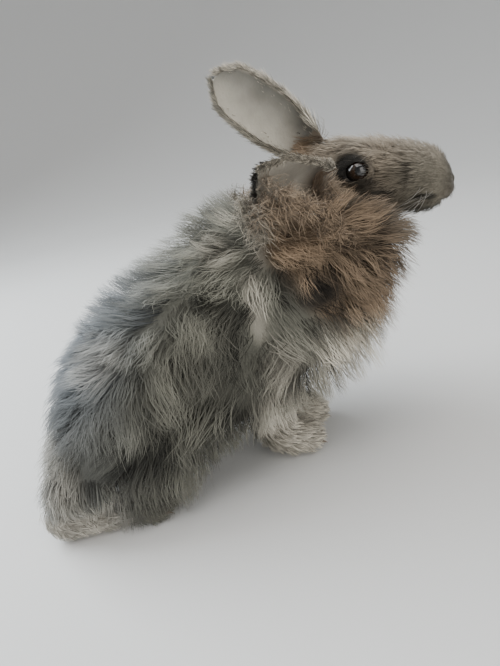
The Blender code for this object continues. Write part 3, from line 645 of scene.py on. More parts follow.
def coat_paths(place, angle, lengths, swings, root_depth, tip_depth, stops):
    """Paths from the skin to the tips: equal steps along the lie over the surface of the tips.

    The depth under that surface falls from root to tip. Where the surface turns under the body
    or ends at the rump, the steps go straight down.
    """
    place, angle = np.array(place), np.array(angle)
    rise = 1.3 - 0.5 * soft(np.abs(angle), 0.7, 1.6) * (1 - soft(place, 0.5, 0.62))
    rise = rise - 0.5 * soft(place, 0.8, 0.92)
    hang = np.zeros((len(place), 3))
    path, outs = [], []
    for stop in range(stops):
        share = stop / (stops - 1)
        surface = body_surface(place, angle)
        along, around = body_slopes(place, angle)
        normal = unit(np.cross(along, around))
        depth = root_depth * (1 - share ** rise) + tip_depth * share
        path.append(surface - normal * depth[:, None] + hang)
        outs.append(normal)
        lie = wool_lie(surface, normal)
        lie = lie + np.cross(normal, lie) * swings[:, None]
        under = np.clip((-normal[:, 2] - 0.35) / 0.3, 0, 1)
        under = np.maximum(under, np.clip((0.12 - place) / 0.12 * 2, 0, 1))
        step = lengths / (stops - 1)
        hang += np.array([0, 0, -1.0]) * (under * step)[:, None]
        move = lie * (step * (1 - under))[:, None]
        long2, round2 = np.sum(along * along, axis=1), np.sum(around * around, axis=1)
        mixed = np.sum(along * around, axis=1)
        ahead, aside = np.sum(along * move, axis=1), np.sum(around * move, axis=1)
        whole = long2 * round2 - mixed ** 2
        place = np.clip(place + (ahead * round2 - aside * mixed) / whole, 0.03, 0.98)
        angle = angle + (aside * long2 - ahead * mixed) / whole
    path = np.stack(path, axis=1)
    floor = np.interp(path[:, -1, 0], *WOOL_FLOOR)
    fall = path[:, 0, 2] - path[:, :, 2].min(axis=1)
    share = np.clip((path[:, 0, 2] - floor) / np.maximum(fall, 1e-6), 0.05, 1)
    path = path[:, :1] + (path - path[:, :1]) * share[:, None, None]
    return path, np.stack(outs, axis=1)


def strand_mesh(name, paths, outs, widths, marks, lay, roots_uv):
    """Closed, tapered strands: a flat three-cornered section carried along each path to a point.

    The normals lean to the way out of the coat, so that it shades as one soft surface. Each strand
    is a small patch of the map OFBake at its root's place.
    """
    count, stops = paths.shape[:2]
    ahead = unit(np.gradient(paths, axis=1))
    across = unit(np.cross(ahead, outs))
    over = np.cross(across, ahead)
    share = np.linspace(0, 1, stops)[:-1]
    taper = (0.55 + 0.9 * share) * (1 - share ** 2.2)
    half = (widths[:, None] * taper / taper.max())[..., None]
    body = paths[:, :-1]
    ring = np.stack([body + across[:, :-1] * half, body + over[:, :-1] * half * 0.8,
                     body - across[:, :-1] * half], axis=2)
    points = np.concatenate([ring.reshape(count, -1, 3), paths[:, -1:]], axis=1)
    per = points.shape[1]
    i, j = np.array([0, 1, 2]), np.array([1, 2, 0])
    end = (stops - 2) * 3
    faces = [np.array([[0, 1, 2]])]
    for a in range(0, end, 3):
        b = a + 3
        faces += [columns(a + i, b + i, b + j), columns(a + i, b + j, a + j)]
    faces.append(columns(end + i, per - 1, end + j))
    starts = (np.arange(count) * per)[:, None, None]
    all_faces = (np.vstack(faces)[None] + starts).reshape(-1, 3)
    if len(all_faces) >= PIECE_LIMIT:
        raise RuntimeError(f"{name} has {len(all_faces)} triangles")
    obj = new_mesh_object(name, points.reshape(-1, 3), all_faces)
    sides = unit(np.stack([across + over * 0.3, over, over * 0.3 - across], axis=2))
    around = np.concatenate([sides[:, :-1].reshape(count, -1, 3), over[:, -1:]], axis=1)
    base = np.concatenate([np.repeat(outs[:, :-1], 3, axis=1), outs[:, -1:]], axis=1)
    normals = unit(base * NORMAL_SOFTNESS + around)
    obj.data.normals_split_custom_set_from_vertices(normals.reshape(-1, 3).tolist())
    along = np.append(np.repeat(share, 3), 1.0)
    fan = np.append(np.tile([0.0, 0.5, 1.0], stops - 1), 0.5)
    lays = columns(along, lay[:, :1], lay[:, 1:2])
    set_marks(obj, np.repeat(marks, per, axis=0), lays.reshape(-1, 3))
    patch = columns(fan, along) * BAKE_PATCH
    set_uv(obj, "OFBake", (roots_uv[:, None] * (1 - 2 * BAKE_PATCH) + patch[None]).reshape(-1, 2))
    return obj


def even_places(count, draw):
    """Places over the body's loft in equal shares of area, turned by the golden angle."""
    fine = np.linspace(0, 1, 400)
    row = smooth_rows(SPINE, fine)
    girth = row[:, 4] * 2 + row[:, 5] + row[:, 6]
    run = np.linalg.norm(np.gradient(row[:, :3], axis=0), axis=1) + np.abs(np.gradient(girth)) / 4
    area = np.cumsum(girth * run)
    shares = (np.arange(count) + draw.uniform(0, 1, count)) / count * area[-1]
    place = np.interp(shares, area, fine)
    angle = np.arange(count) * GOLDEN_ANGLE + draw.normal(0, 0.05, count)
    return place, (angle + math.pi) % (2 * math.pi) - math.pi


def in_head(points, margin):
    """Whether places lie inside the head's loft, drawn in by a margin."""
    local = to_head(points)
    place = np.interp(local[:, 0], HEAD_SECTIONS[:, 0], np.linspace(0, 1, len(HEAD_SECTIONS)))
    row = smooth_rows(HEAD_SECTIONS, place)
    up = local[:, 2] - row[:, 1]
    height = np.where(up > 0, row[:, 3], row[:, 4]) - margin
    inside = (local[:, 1] / (row[:, 2] - margin)) ** 2 + (up / height) ** 2 < 1
    return inside & (local[:, 0] > HEAD_REACH[0]) & (local[:, 0] < HEAD_REACH[1])


def over_face(points):
    """Whether places lie beside or in front of the face, where the ruff's wool stays out."""
    local = to_head(points)
    return (local[:, 0] > -8) & (local[:, 2] - 0.45 * np.maximum(np.abs(local[:, 1]) - 16, 0) > -12)


def nearest(points, guides):
    """For each place the index of the nearest guide, worked out in blocks."""
    index = np.empty(len(points), int)
    for start in range(0, len(points), 1500):
        block = points[start:start + 1500]
        far = np.sum((block[:, None] - guides[None]) ** 2, axis=-1)
        index[start:start + 1500] = far.argmin(axis=1)
    return index


def wool_lengths(settings, place, angle):
    """Length of the wool: that of the ruff in front, else from the back's to the flanks'."""
    down = soft(np.abs(angle), 0.5, 1.5)
    length = settings.back_length * (1 - down) + settings.flank_length * down
    length = length * (1 + 0.7 * soft(np.abs(angle), 1.5, 1.9) * (1 - soft(place, 0.4, 0.5)))
    ruff = soft(place, 0.58, 0.70)
    low = soft(np.abs(angle), 1.6, 2.4)
    ruff_length = settings.ruff_length * (1 + 0.1 * low) * (1 - 0.3 * soft(place, 0.8, 0.92))
    return (length * (1 - ruff) + ruff_length * ruff) / MM


def drawn(path, leader, owner, pull, share, power=1.3):
    """Paths bent towards those of their leaders, more towards the tips."""
    pull = (pull[:, None] * share ** power)[..., None]
    return path + (leader[owner] - path) * pull


def kinks(draw, count, share, size):
    """Random steps aside at each stop, none at the root: the crimp of the wool."""
    return draw.normal(0, size, (count, len(share), 3)) * np.minimum(1, share * 3)[None, :, None]


def curls(draw, path, outs, share, size):
    """A wave across each path and one out of it, a quarter turn apart, none at the root."""
    count = len(path)
    across = unit(np.cross(unit(np.gradient(path, axis=1)), outs))
    turns = draw.uniform(0.5, 1.5, (count, 1)) * 2 * math.pi * share
    phase = draw.uniform(0, 2 * math.pi, (count, 1))
    reach = size * draw.uniform(0.3, 1.3, (count, 1)) * share ** 0.7
    sideways = (np.sin(turns + phase) - np.sin(phase)) * reach
    upward = (np.cos(turns + phase) - np.cos(phase)) * reach * 0.5
    return across * sideways[..., None] + outs * upward[..., None]


def body_wool(settings):
    """All strands of the body: strands lean to wisps and wisps to locks, each lock a dome.

    A tip lies deeper the further its root is from the middle of its wisp and lock, so that
    clefts open between the locks.
    """
    draw = np.random.default_rng(BODY_SEED)
    stops = 6
    share = np.linspace(0, 1, stops)
    depth = settings.wool_depth / MM
    place, angle = even_places(settings.body_strands, draw)
    kept = draw.uniform(0, 1, len(place)) < np.interp(np.abs(angle), (2.3, 2.7), (1, 0.45))
    place, angle = place[kept], angle[kept]
    count = len(place)
    wisps = count // settings.clump_size
    locks = wisps // settings.lock_size

    l_place, l_angle = even_places(locks, draw)
    l_root = body_surface(l_place, l_angle)
    loose = np.interp(l_place, (0.45, 0.6), (0.45, 0.8))
    l_swing = draw.normal(0, 1, locks) * loose
    l_length = wool_lengths(settings, l_place, l_angle) * draw.uniform(0.65, 1.3, locks)
    l_path, l_out = coat_paths(l_place, l_angle, l_length, l_swing, np.full(locks, depth),
                               draw.uniform(-5, 0, locks), stops)
    l_path = l_path + curls(draw, l_path, l_out, share, 3.0)

    w_place, w_angle = even_places(wisps, draw)
    w_root = body_surface(w_place, w_angle)
    w_owner = nearest(w_root, l_root)
    far = np.linalg.norm(w_root - l_root[w_owner], axis=1)
    far = np.minimum(far / np.percentile(far, 85), 1.4)
    # Painted shade: a lock's tone falls towards its border, so the clefts between locks read darker
    shade = draw.uniform(0.3, 1, locks)[w_owner] - (0.55 + 0.35 * soft(w_place, 0.6, 0.66)) * far ** 2
    w_tip = 6.0 * far ** 2 - 4.5 - 3.5 * soft(w_place, 0.78, 0.92) + draw.uniform(-1.5, 1.5, wisps)
    w_length = l_length[w_owner] * draw.uniform(0.75, 1.2, wisps)
    w_path, w_out = coat_paths(w_place, w_angle, w_length, l_swing[w_owner] + draw.normal(0, 0.45, wisps),
                               np.full(wisps, depth), w_tip, stops)
    w_pull = draw.uniform(0.2, 0.7, wisps) * (1 - 0.8 * soft(w_place, 0.6, 0.7))
    w_path = drawn(w_path, l_path, w_owner, w_pull, share)
    w_path = w_path + curls(draw, w_path, w_out, share, 2.5)

    root = body_surface(place, angle)
    owner = nearest(root, w_root)
    far = np.linalg.norm(root - w_root[owner], axis=1)
    far = np.minimum(far / np.percentile(far, 85), 1.5)
    tip = w_tip[owner] + 1.5 * far ** 2 + draw.uniform(-1.0, 2.0, count)
    length = w_length[owner] * draw.uniform(0.7, 1.15, count)
    swing = l_swing[w_owner[owner]] + draw.normal(0, 0.35, count)
    path, out = coat_paths(place, angle, length, swing, np.full(count, depth + 1.5), tip, stops)
    stray = draw.uniform(0, 1, count) < 0.16
    pull = draw.uniform(0.4, 0.85, count) * (1 - 0.4 * soft(place, 0.6, 0.7))
    path = drawn(path, w_path, owner, np.where(stray, 0.1, pull), share)
    path = path + kinks(draw, count, share, 0.45) + curls(draw, path, out, share, 1.2)
    path = path + out * (np.where(stray, 2.6, 0.0)[:, None] * share ** 2)[..., None]
    width = settings.strand_width / MM * draw.uniform(0.7, 1.4, count) * np.where(stray, 0.6, 1)
    width = width * (1 + 0.5 * soft(place, 0.75, 0.9))
    floor = np.interp(path[:, 0, 0], *WOOL_FLOOR)
    keep = (path[:, 0, 2] > floor + 5) & (place < 0.985)
    keep = keep & ~in_head(path[:, 0], 3) & ~in_head(path[:, -1], 2) & ~over_face(path[:, -1])
    path[..., 2] = np.maximum(path[..., 2], 2.0)
    # Painted shade: the tone also falls towards the border of each wisp
    tone = shade[owner] + draw.uniform(-0.15, 0.25, wisps)[owner] - 0.12 * far ** 2 + 0.25
    lay = columns(np.clip(tone, 0, 1), draw.uniform(0, 1, count))
    return place, angle, path, out, width, lay, keep


def sample_surface(surface, chosen, count, draw):
    """Random places on the chosen triangles, in proportion to area, and the normals there."""
    points, normals, faces = surface
    p, q, r = (points[faces[:, k]] for k in range(3))
    total = np.cumsum(np.linalg.norm(np.cross(q - p, r - p), axis=1) * chosen)
    index = np.searchsorted(total, draw.uniform(0, total[-1], count))
    corner = faces[np.minimum(index, len(faces) - 1)]
    a, b = draw.uniform(0, 1, count), draw.uniform(0, 1, count)
    flip = a + b > 1
    a, b = np.where(flip, 1 - a, a), np.where(flip, 1 - b, b)
    shares = columns(1 - a - b, a, b)[..., None]
    return np.sum(points[corner] * shares, axis=1), unit(np.sum(normals[corner] * shares, axis=1))


def short_paths(roots, normals, lie, lengths, lift, draw, stops=5, clump=0.5, guides=12, frizz=0.35):
    """Bent tufts: they leave the skin at a slope set by the lift and lean over along the lie."""
    lie = unit(unit(square_to(lie, normals)) + draw.normal(0, 0.16, lie.shape))
    share = np.linspace(0, 1, stops)[None, :, None]
    reach = lengths[:, None, None]
    lift = np.broadcast_to(lift, len(roots))[:, None, None]
    out = normals[:, None]
    path = roots[:, None] - out * 0.6
    path = path + out * reach * lift * np.sin(share * math.pi * 0.55) + lie[:, None] * reach * share ** 1.25
    count = len(roots)
    leaders = draw.choice(count, max(1, count // guides), replace=False)
    owner = leaders[nearest(roots, roots[leaders])]
    path = path + (path[owner] - path) * clump * share ** 1.4
    path = path + draw.normal(0, frizz, (count, 1, 3)) * share ** 1.5
    return path, np.repeat(out, stops, axis=1)


def random_lay(draw, count, tone=(0, 1), own=(0, 1)):
    """The tone of each strand's lock and its own tone, at random."""
    return columns(draw.uniform(*tone, count), draw.uniform(*own, count))


def round_uv(side, up, along):
    """Places on the bake map from the turn round an axis and the share along it."""
    return np.clip(columns((np.arctan2(side, up) / math.pi + 1) / 2, along), 0, 1)


# Materials
def add_node(tree, kind, inputs=None, **values):
    """A shader node with its values set and its inputs fed by numbers or by other nodes."""
    node = tree.nodes.new("ShaderNode" + kind)
    for name, value in values.items():
        setattr(node, name, value)
    for name, value in (inputs or {}).items():
        if isinstance(value, bpy.types.NodeSocket):
            tree.links.new(value, node.inputs[name])
        else:
            node.inputs[name].default_value = value
    return node


def wool_group():
    """Group: mixes the coat's colours by the markings, darkens the roots and varies the locks. The darker
    roots are partly the wool's own and partly painted shade deep in the coat; the lock's tone holds random
    tone and painted shade at its border.
    """
    name = "wool_colours"
    if name in bpy.data.node_groups:
        return bpy.data.node_groups[name]
    group = bpy.data.node_groups.new(name, "ShaderNodeTree")
    for title, kind in (("Markings", "Color"), ("Dark share", "Float"), ("Lay", "Vector"),
                        ("Place", "Vector"), ("Olive", "Color"), ("Tan", "Color"), ("Slate", "Color"),
                        ("Cream", "Color"), ("Dark", "Color"), ("Root shade", "Float")):
        group.interface.new_socket(name=title, in_out="INPUT", socket_type="NodeSocket" + kind)
    group.interface.new_socket(name="Colour", in_out="OUTPUT", socket_type="NodeSocketColor")
    given = group.nodes.new("NodeGroupInput").outputs
    marks = add_node(group, "SeparateColor", {0: given["Markings"]}).outputs
    along, lock, strand = add_node(group, "SeparateXYZ", {0: given["Lay"]}).outputs
    colour = given["Olive"]
    for share, other in ((marks[0], "Tan"), (marks[2], "Slate"), (marks[1], "Cream"),
                         (given["Dark share"], "Dark")):
        mix = add_node(group, "Mix", data_type="RGBA")
        for index, source in ((0, share), (6, colour), (7, given[other])):
            group.links.new(source, mix.inputs[index])
        colour = mix.outputs[2]
    cloud = add_node(group, "TexNoise", {"Scale": 55, "Detail": 3, "Vector": given["Place"]})
    root_shade = {"Value": along, "From Max": 0.85, "To Min": given["Root shade"], "To Max": 1.0}
    value = add_node(group, "MapRange", root_shade, interpolation_type="SMOOTHSTEP").outputs[0]
    cloudy = {"Value": cloud.outputs[0], "From Min": 0.3, "From Max": 0.7, "To Min": 0.78, "To Max": 1.2}
    for tone in ({"Value": lock, "To Min": 0.3, "To Max": 1.5},
                 {"Value": strand, "To Min": 0.92, "To Max": 1.08}, cloudy):
        other = add_node(group, "MapRange", tone).outputs[0]
        value = add_node(group, "Math", {0: value, 1: other}, operation="MULTIPLY").outputs[0]
    scale = add_node(group, "VectorMath", {0: colour, "Scale": value}, operation="SCALE")
    result = group.nodes.new("NodeGroupOutput")
    group.links.new(scale.outputs[0], result.inputs["Colour"])
    return group


def plain_material(name, colour, roughness):
    material = bpy.data.materials.get(name) or bpy.data.materials.new(name)
    material.use_nodes = True
    shader = material.node_tree.nodes["Principled BSDF"]
    shader.inputs["Base Color"].default_value = (*colour, 1)
    shader.inputs["Roughness"].default_value = roughness
    return material, shader


def coat_material(name, settings):
    """Wool or short fur: the coat's colours from the markings; on the skin also a fine bump."""
    if name in bpy.data.materials:
        return bpy.data.materials[name]
    root_shade, roughness, sheen, bump = COAT_FINISHES[name]
    material, shader = plain_material(name, (0.5, 0.5, 0.5), roughness)
    shader.inputs["Sheen Weight"].default_value = sheen
    shader.inputs["Sheen Roughness"].default_value = 0.5
    shader.inputs["Specular IOR Level"].default_value = 0.25
    tree = material.node_tree
    place = add_node(tree, "TexCoord").outputs["Object"]
    feeds = {"Root shade": root_shade, "Place": place}
    for title in ("Olive", "Tan", "Slate", "Cream", "Dark"):
        feeds[title] = (*getattr(settings, title.lower()), 1)
    for title, attribute, output in (("Markings", "markings", "Color"), ("Dark share", "dark_share", "Fac"),
                                     ("Lay", "lay", "Vector")):
        feeds[title] = add_node(tree, "Attribute", attribute_name=attribute).outputs[output]
    group = add_node(tree, "Group", feeds, node_tree=wool_group())
    tree.links.new(group.outputs[0], shader.inputs["Base Color"])
    if bump:
        noise = add_node(tree, "TexNoise", {"Scale": 700, "Detail": 3, "Vector": place}).outputs[0]
        relief = add_node(tree, "Bump", {"Distance": 0.0006, "Strength": bump, "Height": noise})
        tree.links.new(relief.outputs[0], shader.inputs["Normal"])
    return material


def dress(obj, material, slot, *nodes):
    """Give a piece its material and body, and hide the nodes that it replaces. The slot is not used."""
    obj.data.materials.clear()
    obj.data.materials.append(material)
    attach(obj, "root")
    if nodes:
        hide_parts(*nodes)


def coat_piece(name, material, slot, strands, keep=slice(None)):
    """One piece of coat from the kept strands: their paths, ways out, widths, marks, lay and UV."""
    dress(strand_mesh(name, *(values[keep] for values in strands)), material, slot)


# Skin
def body_skin_parts(depth):
    """The core of the body, the legs with their toes, the shanks, the feet and the tail."""
    rows = SPINE[1:-1].copy()
    rows[:, 4:] = np.maximum(rows[:, 4:] - depth, 5)
    rows[0] = rows[0] * 0.6 + rows[1] * 0.4
    rows[-1] = rows[-1] * 0.6 + rows[-2] * 0.4
    place, angle = np.meshgrid(np.linspace(0, 1, 60), full_turn(64), indexing="ij")
    parts = [closed_grid(body_surface(place, angle, rows)), closed_grid(tube_surface(TAIL, 30, 24))]
    for side in (-1, 1):
        fore = foreleg_rows(side)
        foot = leg_rows(HIND_FOOT, side)
        for table, slim in ((fore, 2.0), (foot, 1.2), (leg_rows(SHANK, side), 2.0)):
            table[:, 3:] = np.maximum(table[:, 3:] - slim, 2)
            parts.append(closed_grid(tube_surface(table, 60, 32)))
        parts += [ellipsoid(toe, TOE_RADII) for table in (fore, foot) for toe in toe_places(table)]
    return parts


def head_skin_parts():
    """The head's loft, drawn in by the depth of its fur, with its rounded forms."""
    rows = HEAD_SECTIONS.copy()
    inset = np.interp(rows[:, 0], (-36, 10, 44), (4.0, 2.6, 1.0))
    rows[:, 2:] = np.maximum(rows[:, 2:] - inset[:, None], 2)
    table = smooth_rows(rows, np.linspace(0, 1, 80))
    side, up = round_section(full_turn(72), HEAD_POWER, HEAD_POWER)
    place, middle, width, rise, drop = (column[:, None] for column in table.T)
    loft = columns(place, side * width, middle + up * np.where(up > 0, rise, drop))
    parts = [closed_grid(from_head(loft))]
    forms = HEAD_SINGLES + [(np.array(middle) * (1, side, 1), radii)
                            for middle, radii in HEAD_PAIRS for side in (-1, 1)]
    for middle, radii in forms:
        parts.append(ellipsoid(from_head(middle), radii, HEAD_TURN))
    return parts


def carve_face(obj):
    """Press the lips' line, the cleft under the nose and the nostrils into the skin.

    Each is a curve on the face; the skin sinks along its normal by a bell of the distance.
    """
    points, normals = read_points(obj), read_vertices(obj, "normal")
    local = to_head(points)
    x, y, z = local[:, 0], np.abs(local[:, 1]), local[:, 2]
    mouth = -12.5 - 0.022 * y ** 2 + 1.2 * np.exp(-(y / 2.0) ** 2)
    sink = 1.5 * np.exp(-((z - mouth) / 0.9) ** 2) * soft(x, 30, 36) * (1 - soft(y, 10, 13))
    cleft = 1.3 * np.exp(-(y / 0.8) ** 2) * soft(z, -13, -11) * (1 - soft(z, -7.5, -6)) * soft(x, 42, 46)
    slant = (y - 3.0) * 0.75 + (z + 3.2) * 0.65
    level = (y - 3.0) * 0.65 - (z + 3.2) * 0.75
    nostril = 2.2 * np.exp(-(slant / 2.1) ** 2 - (level / 0.8) ** 2) * soft(x, 44, 48)
    sink = np.maximum(np.maximum(sink, cleft), nostril)
    write_points(obj, points - normals * sink[:, None])


def build_skin(settings):
    """Fuse body and head, join on the ears, cut the sockets and the openings of the lids."""
    skin = new_mesh_object("skin", *joined(body_skin_parts(settings.wool_depth / MM)))
    fuse(skin, 1.7, 4)
    head = new_mesh_object("head_skin", *joined(head_skin_parts()))
    fuse(head, 0.75, 5)
    carve_face(head)
    combine(skin, head, "UNION")
    for side in EARS:
        combine(skin, new_mesh_object("ear_skin", *ear_leaf(side)), "UNION")
    for side in (-1, 1):
        middle = EYE_PLACE * (1, side, 1)
        ball = ellipsoid(from_head(middle), [EYE_RADIUS + SOCKET_GAP] * 3)
        combine(skin, new_mesh_object("socket", *ball), "DIFFERENCE")
        rows = np.array([(-1, 3 * side, 0, 6.6, 5.0), (0, 12 * side, 1, 6.9, 5.3),
                         (1, 21 * side, 2, 7.3, 5.6)])
        rows[:, :3] = from_head(rows[:, :3] + middle)
        combine(skin, new_mesh_object("opening", *closed_grid(tube_surface(rows, 3, 32))), "DIFFERENCE")
    points = read_points(skin)
    points[:, 2] = np.maximum(points[:, 2], 0.2)
    write_points(skin, points)
    skin.data.shade_smooth()
    marks = markings(points)
    lay = np.tile((0.55, 0.4, 0.4), (len(points), 1))
    paint_ears(points, read_vertices(skin, "normal"), marks, lay)
    set_marks(skin, marks, lay)
    return skin


def paint_ears(points, normals, marks, lay):
    """Colours of the ears' skin by the share of the way up, the share across and the side, with painted shade
    in the cups near the roots and along one side of the left ear's cup.
    """
    for name, (root, tip, _, facing) in EARS.items():
        share = up_ear(points, name)
        t = np.clip(share, 0, 1)[:, None]
        off = points - ear_line(name, t)[0]
        across = unit(np.cross(facing, tip - root))
        front = np.cross(unit(tip - root), across)
        spread = off @ across / smooth_rows(EAR_WIDTHS, t[:, 0])[:, 0]
        here = (share > 0.10) & (share < 1.1) & (np.linalg.norm(off, axis=1) < 21)
        inner = soft(normals @ front, -0.1, 0.3) * (1 - soft(np.abs(spread), 0.80, 0.97))
        low = 1 - soft(share, 0.1, 0.42)
        if name == "left":
            # Painted shade: greyer and darker towards one edge of the cup and near the root
            dark = 0.10 + 0.22 * soft(-spread, -0.1, 0.5) + 0.25 * low
            shade = columns(0.06 + 0.3 * low, 0.50 + 0.2 * spread, 0.42 - 0.12 * spread, dark)
        else:
            # Painted shade: dark brown in the cup near the root
            shade = columns(0.45 + 0.3 * low, 0.38 - 0.2 * low, 0.25 * (1 - low), 0.5 * low)
        outer = columns(0.25, 0.8 - 0.4 * low, 0, 0.1 * low)
        paint = outer + (shade - outer) * inner[:, None]
        marks[here] = np.clip(paint, 0, 1)[here]
        lay[here] = (0.9, 0.5, 0.5)


# Pieces
def settings_of(context):
    return context.scene.rabbit_settings


class RABBIT_OT_skin(bpy.types.Operator):
    """Build the one closed skin of body, head, ears, legs and tail"""
    bl_idname = "rabbit.skin"
    bl_label = "Skin"

    def execute(self, context):
        settings = settings_of(context)
        dress(build_skin(settings), coat_material("skin_under_wool", settings), "torso",
              "torso", "neck", "head", "tail", "foreleg_left", "foreleg_right",
              "hindleg_left", "hindleg_right", "ear_left", "ear_right")
        return {"FINISHED"}


class RABBIT_OT_eyes(bpy.types.Operator):
    """Build both eyes as glossy balls with a dark iris and pupil"""
    bl_idname = "rabbit.eyes"
    bl_label = "Eyes"

    def execute(self, context):
        settings = settings_of(context)
        material, shader = plain_material("eye", settings.eye, 0.08)
        shader.inputs["Coat Weight"].default_value = 0.6
        shader.inputs["Coat Roughness"].default_value = 0.04
        tree = material.node_tree
        lay = add_node(tree, "Attribute", attribute_name="lay").outputs["Vector"]
        part = add_node(tree, "SeparateXYZ", {0: lay})
        ramp = add_node(tree, "ValToRGB", {0: part.outputs[0]})
        stops = ramp.color_ramp.elements
        stops[0].position, stops[0].color = 0.42, (0.003, 0.003, 0.003, 1)
        stops[1].position, stops[1].color = 0.50, (*settings.eye, 1)
        stops.new(0.95).color = (0.012, 0.009, 0.007, 1)
        tree.links.new(ramp.outputs[0], shader.inputs["Base Color"])
        for name, side in SIDES.items():
            middle = EYE_PLACE * (1, side, 1)
            points, faces = ellipsoid(from_head(middle), [EYE_RADIUS] * 3, HEAD_TURN, 40, 48)
            gaze = unit(np.array((0.25, side, 0.12)))
            turned = np.arccos(np.clip(unit(to_head(points) - middle) @ gaze, -1, 1))
            eye = new_mesh_object(f"eyeball_{name}", points, faces)
            set_attribute(eye, "lay", "FLOAT_VECTOR", columns(turned, 0, 0))
            dress(eye, material, "eye", f"eye_{name}")
        return {"FINISHED"}


class RABBIT_OT_body_wool(bpy.types.Operator):
    """Cover the body with wavy strands of wool that draw together into locks"""
    bl_idname = "rabbit.body_wool"
    bl_label = "Wool of the body"

    def execute(self, context):
        settings = settings_of(context)
        place, angle, path, out, width, lay, keep = body_wool(settings)
        marks = markings(path[:, -2])
        # The strand keeps most of the dark share at its root, where the painted shade of the clefts lies
        marks[:, 3] = np.maximum(marks[:, 3], 0.8 * markings(path[:, 0])[:, 3])
        for name, start, end, slot in (("rump", 0.0, 0.33, "torso"), ("loin", 0.33, 0.475, "torso"),
                                       ("shoulder", 0.475, 0.61, "torso"), ("ruff", 0.61, 1.01, "neck")):
            uv = columns(np.abs(angle) / math.pi, (place - start) / (end - start))
            strands = path, out, width, marks, lay, uv
            for side_name, on_side in (("left", angle >= 0), ("right", angle < 0)):
                chosen = keep & on_side & (place >= start) & (place < end)
                coat_piece(f"wool_{name}_{side_name}", coat_material("wool", settings), slot, strands, chosen)
        return {"FINISHED"}


class RABBIT_OT_end_wool(bpy.types.Operator):
    """Cover the hind end and the breast, where the body's rings close, with wool from the skin"""
    bl_idname = "rabbit.end_wool"
    bl_label = "Wool of the ends"

    def execute(self, context):
        settings = settings_of(context)
        draw = np.random.default_rng(ENDS_SEED)
        surface, middle, slope = skin_surface()
        off_tail = np.linalg.norm((middle - TAIL_MIDDLE) / (12, 12, 13), axis=1) > 1
        rear = (middle[:, 0] < -48) & (middle[:, 2] > 22) & (slope[:, 0] < -0.25) & off_tail
        front = (middle[:, 0] > 84) & (middle[:, 0] < 134) & (np.abs(middle[:, 2] - 102) < 36)
        front = front & (slope[:, 0] > 0.1) & ~in_head(middle, -6)
        stops = 5
        for name, chosen, count, slot, way, reach, lift in (
                ("wool_hind_end", rear, 4200, "torso", (-0.15, 0, -0.9), (10, 17), 0.5),
                ("wool_breast", front, 2800, "neck", (0.3, 0, -0.8), (11, 17), 0.75)):
            roots, normal = sample_surface(surface, chosen, count, draw)
            lie = np.tile(way, (count, 1)) + np.array((0, 0.2, 0)) * np.sign(roots[:, 1:2])
            length = draw.uniform(*reach, count)
            path, out = short_paths(roots, normal, lie, length, lift, draw, stops, 0.6, 14, 1.0)
            path = path + curls(draw, path, out, np.linspace(0, 1, stops), 1.5)
            path[..., 2] = np.maximum(path[..., 2], 3)
            lay = random_lay(draw, count, (0.3, 0.8))
            uv = np.clip(columns((roots[:, 1] + 70) / 140, (roots[:, 2] - 10) / 150), 0, 1)
            width = settings.strand_width / MM * draw.uniform(0.8, 1.5, count)
            strands = path, out, width, markings(path[:, 3]), lay, uv
            coat_piece(name, coat_material("wool", settings), slot, strands, ~over_face(path[:, -1]))
        return {"FINISHED"}


class RABBIT_OT_ear_bed(bpy.types.Operator):
    """Stand wool up round the roots of the ears, where the ruff hides the low half of the laid one"""
    bl_idname = "rabbit.ear_bed"
    bl_label = "Wool round the ears"

    def execute(self, context):
        settings = settings_of(context)
        draw = np.random.default_rng(BED_SEED)
        count, stops, puffs = 4500, 5, 90
        share = np.linspace(0, 1, stops)
        run = draw.uniform(0, 1, puffs)
        middle = smooth_rows(EAR_BED_LINE, run) + draw.normal(0, 1, (puffs, 3)) * (3.5, 2.0, 4.0)
        middle = middle - (0, 0, 8) * draw.uniform(0, 1, (puffs, 1)) ** 2
        owner = draw.integers(0, puffs, count)
        way = unit(draw.normal(0, 1, (count, 3)) + (0.1, -1.0, 0.7))
        length = draw.uniform(6, 12.5, count) * draw.uniform(0.8, 1.2, puffs)[owner]
        length = length * np.interp(run[owner], (0, 0.2, 0.3, 0.8, 1), (0.5, 0.6, 1, 1, 0.7))
        root = middle[owner] + draw.normal(0, 1.8, (count, 3)) - way * 2
        path = root[:, None] + way[:, None] * (length[:, None] * share)[..., None]
        path = path + np.array((0.1, -0.1, -0.3)) * (length[:, None] * share ** 2.2)[..., None]
        out = np.repeat(unit(way + (0, -0.4, 0.3))[:, None], stops, axis=1)
        path = path + curls(draw, path, out, share, 0.9) + kinks(draw, count, share, 0.15)
        width = settings.strand_width / MM * draw.uniform(0.6, 1.1, count)
        marks = markings(root) * (1, 1, 0, 0.2) + (0.1, 0.05, 0, 0)
        # Painted light: the puffs are paler where their tips stand high, at the top of the bed
        marks[:, 1] += 0.18 * soft(path[:, -1, 2], 164, 182)
        lay = columns(draw.uniform(0.3, 0.8, puffs)[owner], draw.uniform(0, 1, count))
        uv = columns(run[owner], np.clip((root[:, 2] - 140) / 40, 0, 1))
        coat_piece("wool_ear_bed", coat_material("wool_bed", settings), "neck",
                   (path, out, width, marks, lay, uv), ~over_face(path[:, -1]))
        return {"FINISHED"}


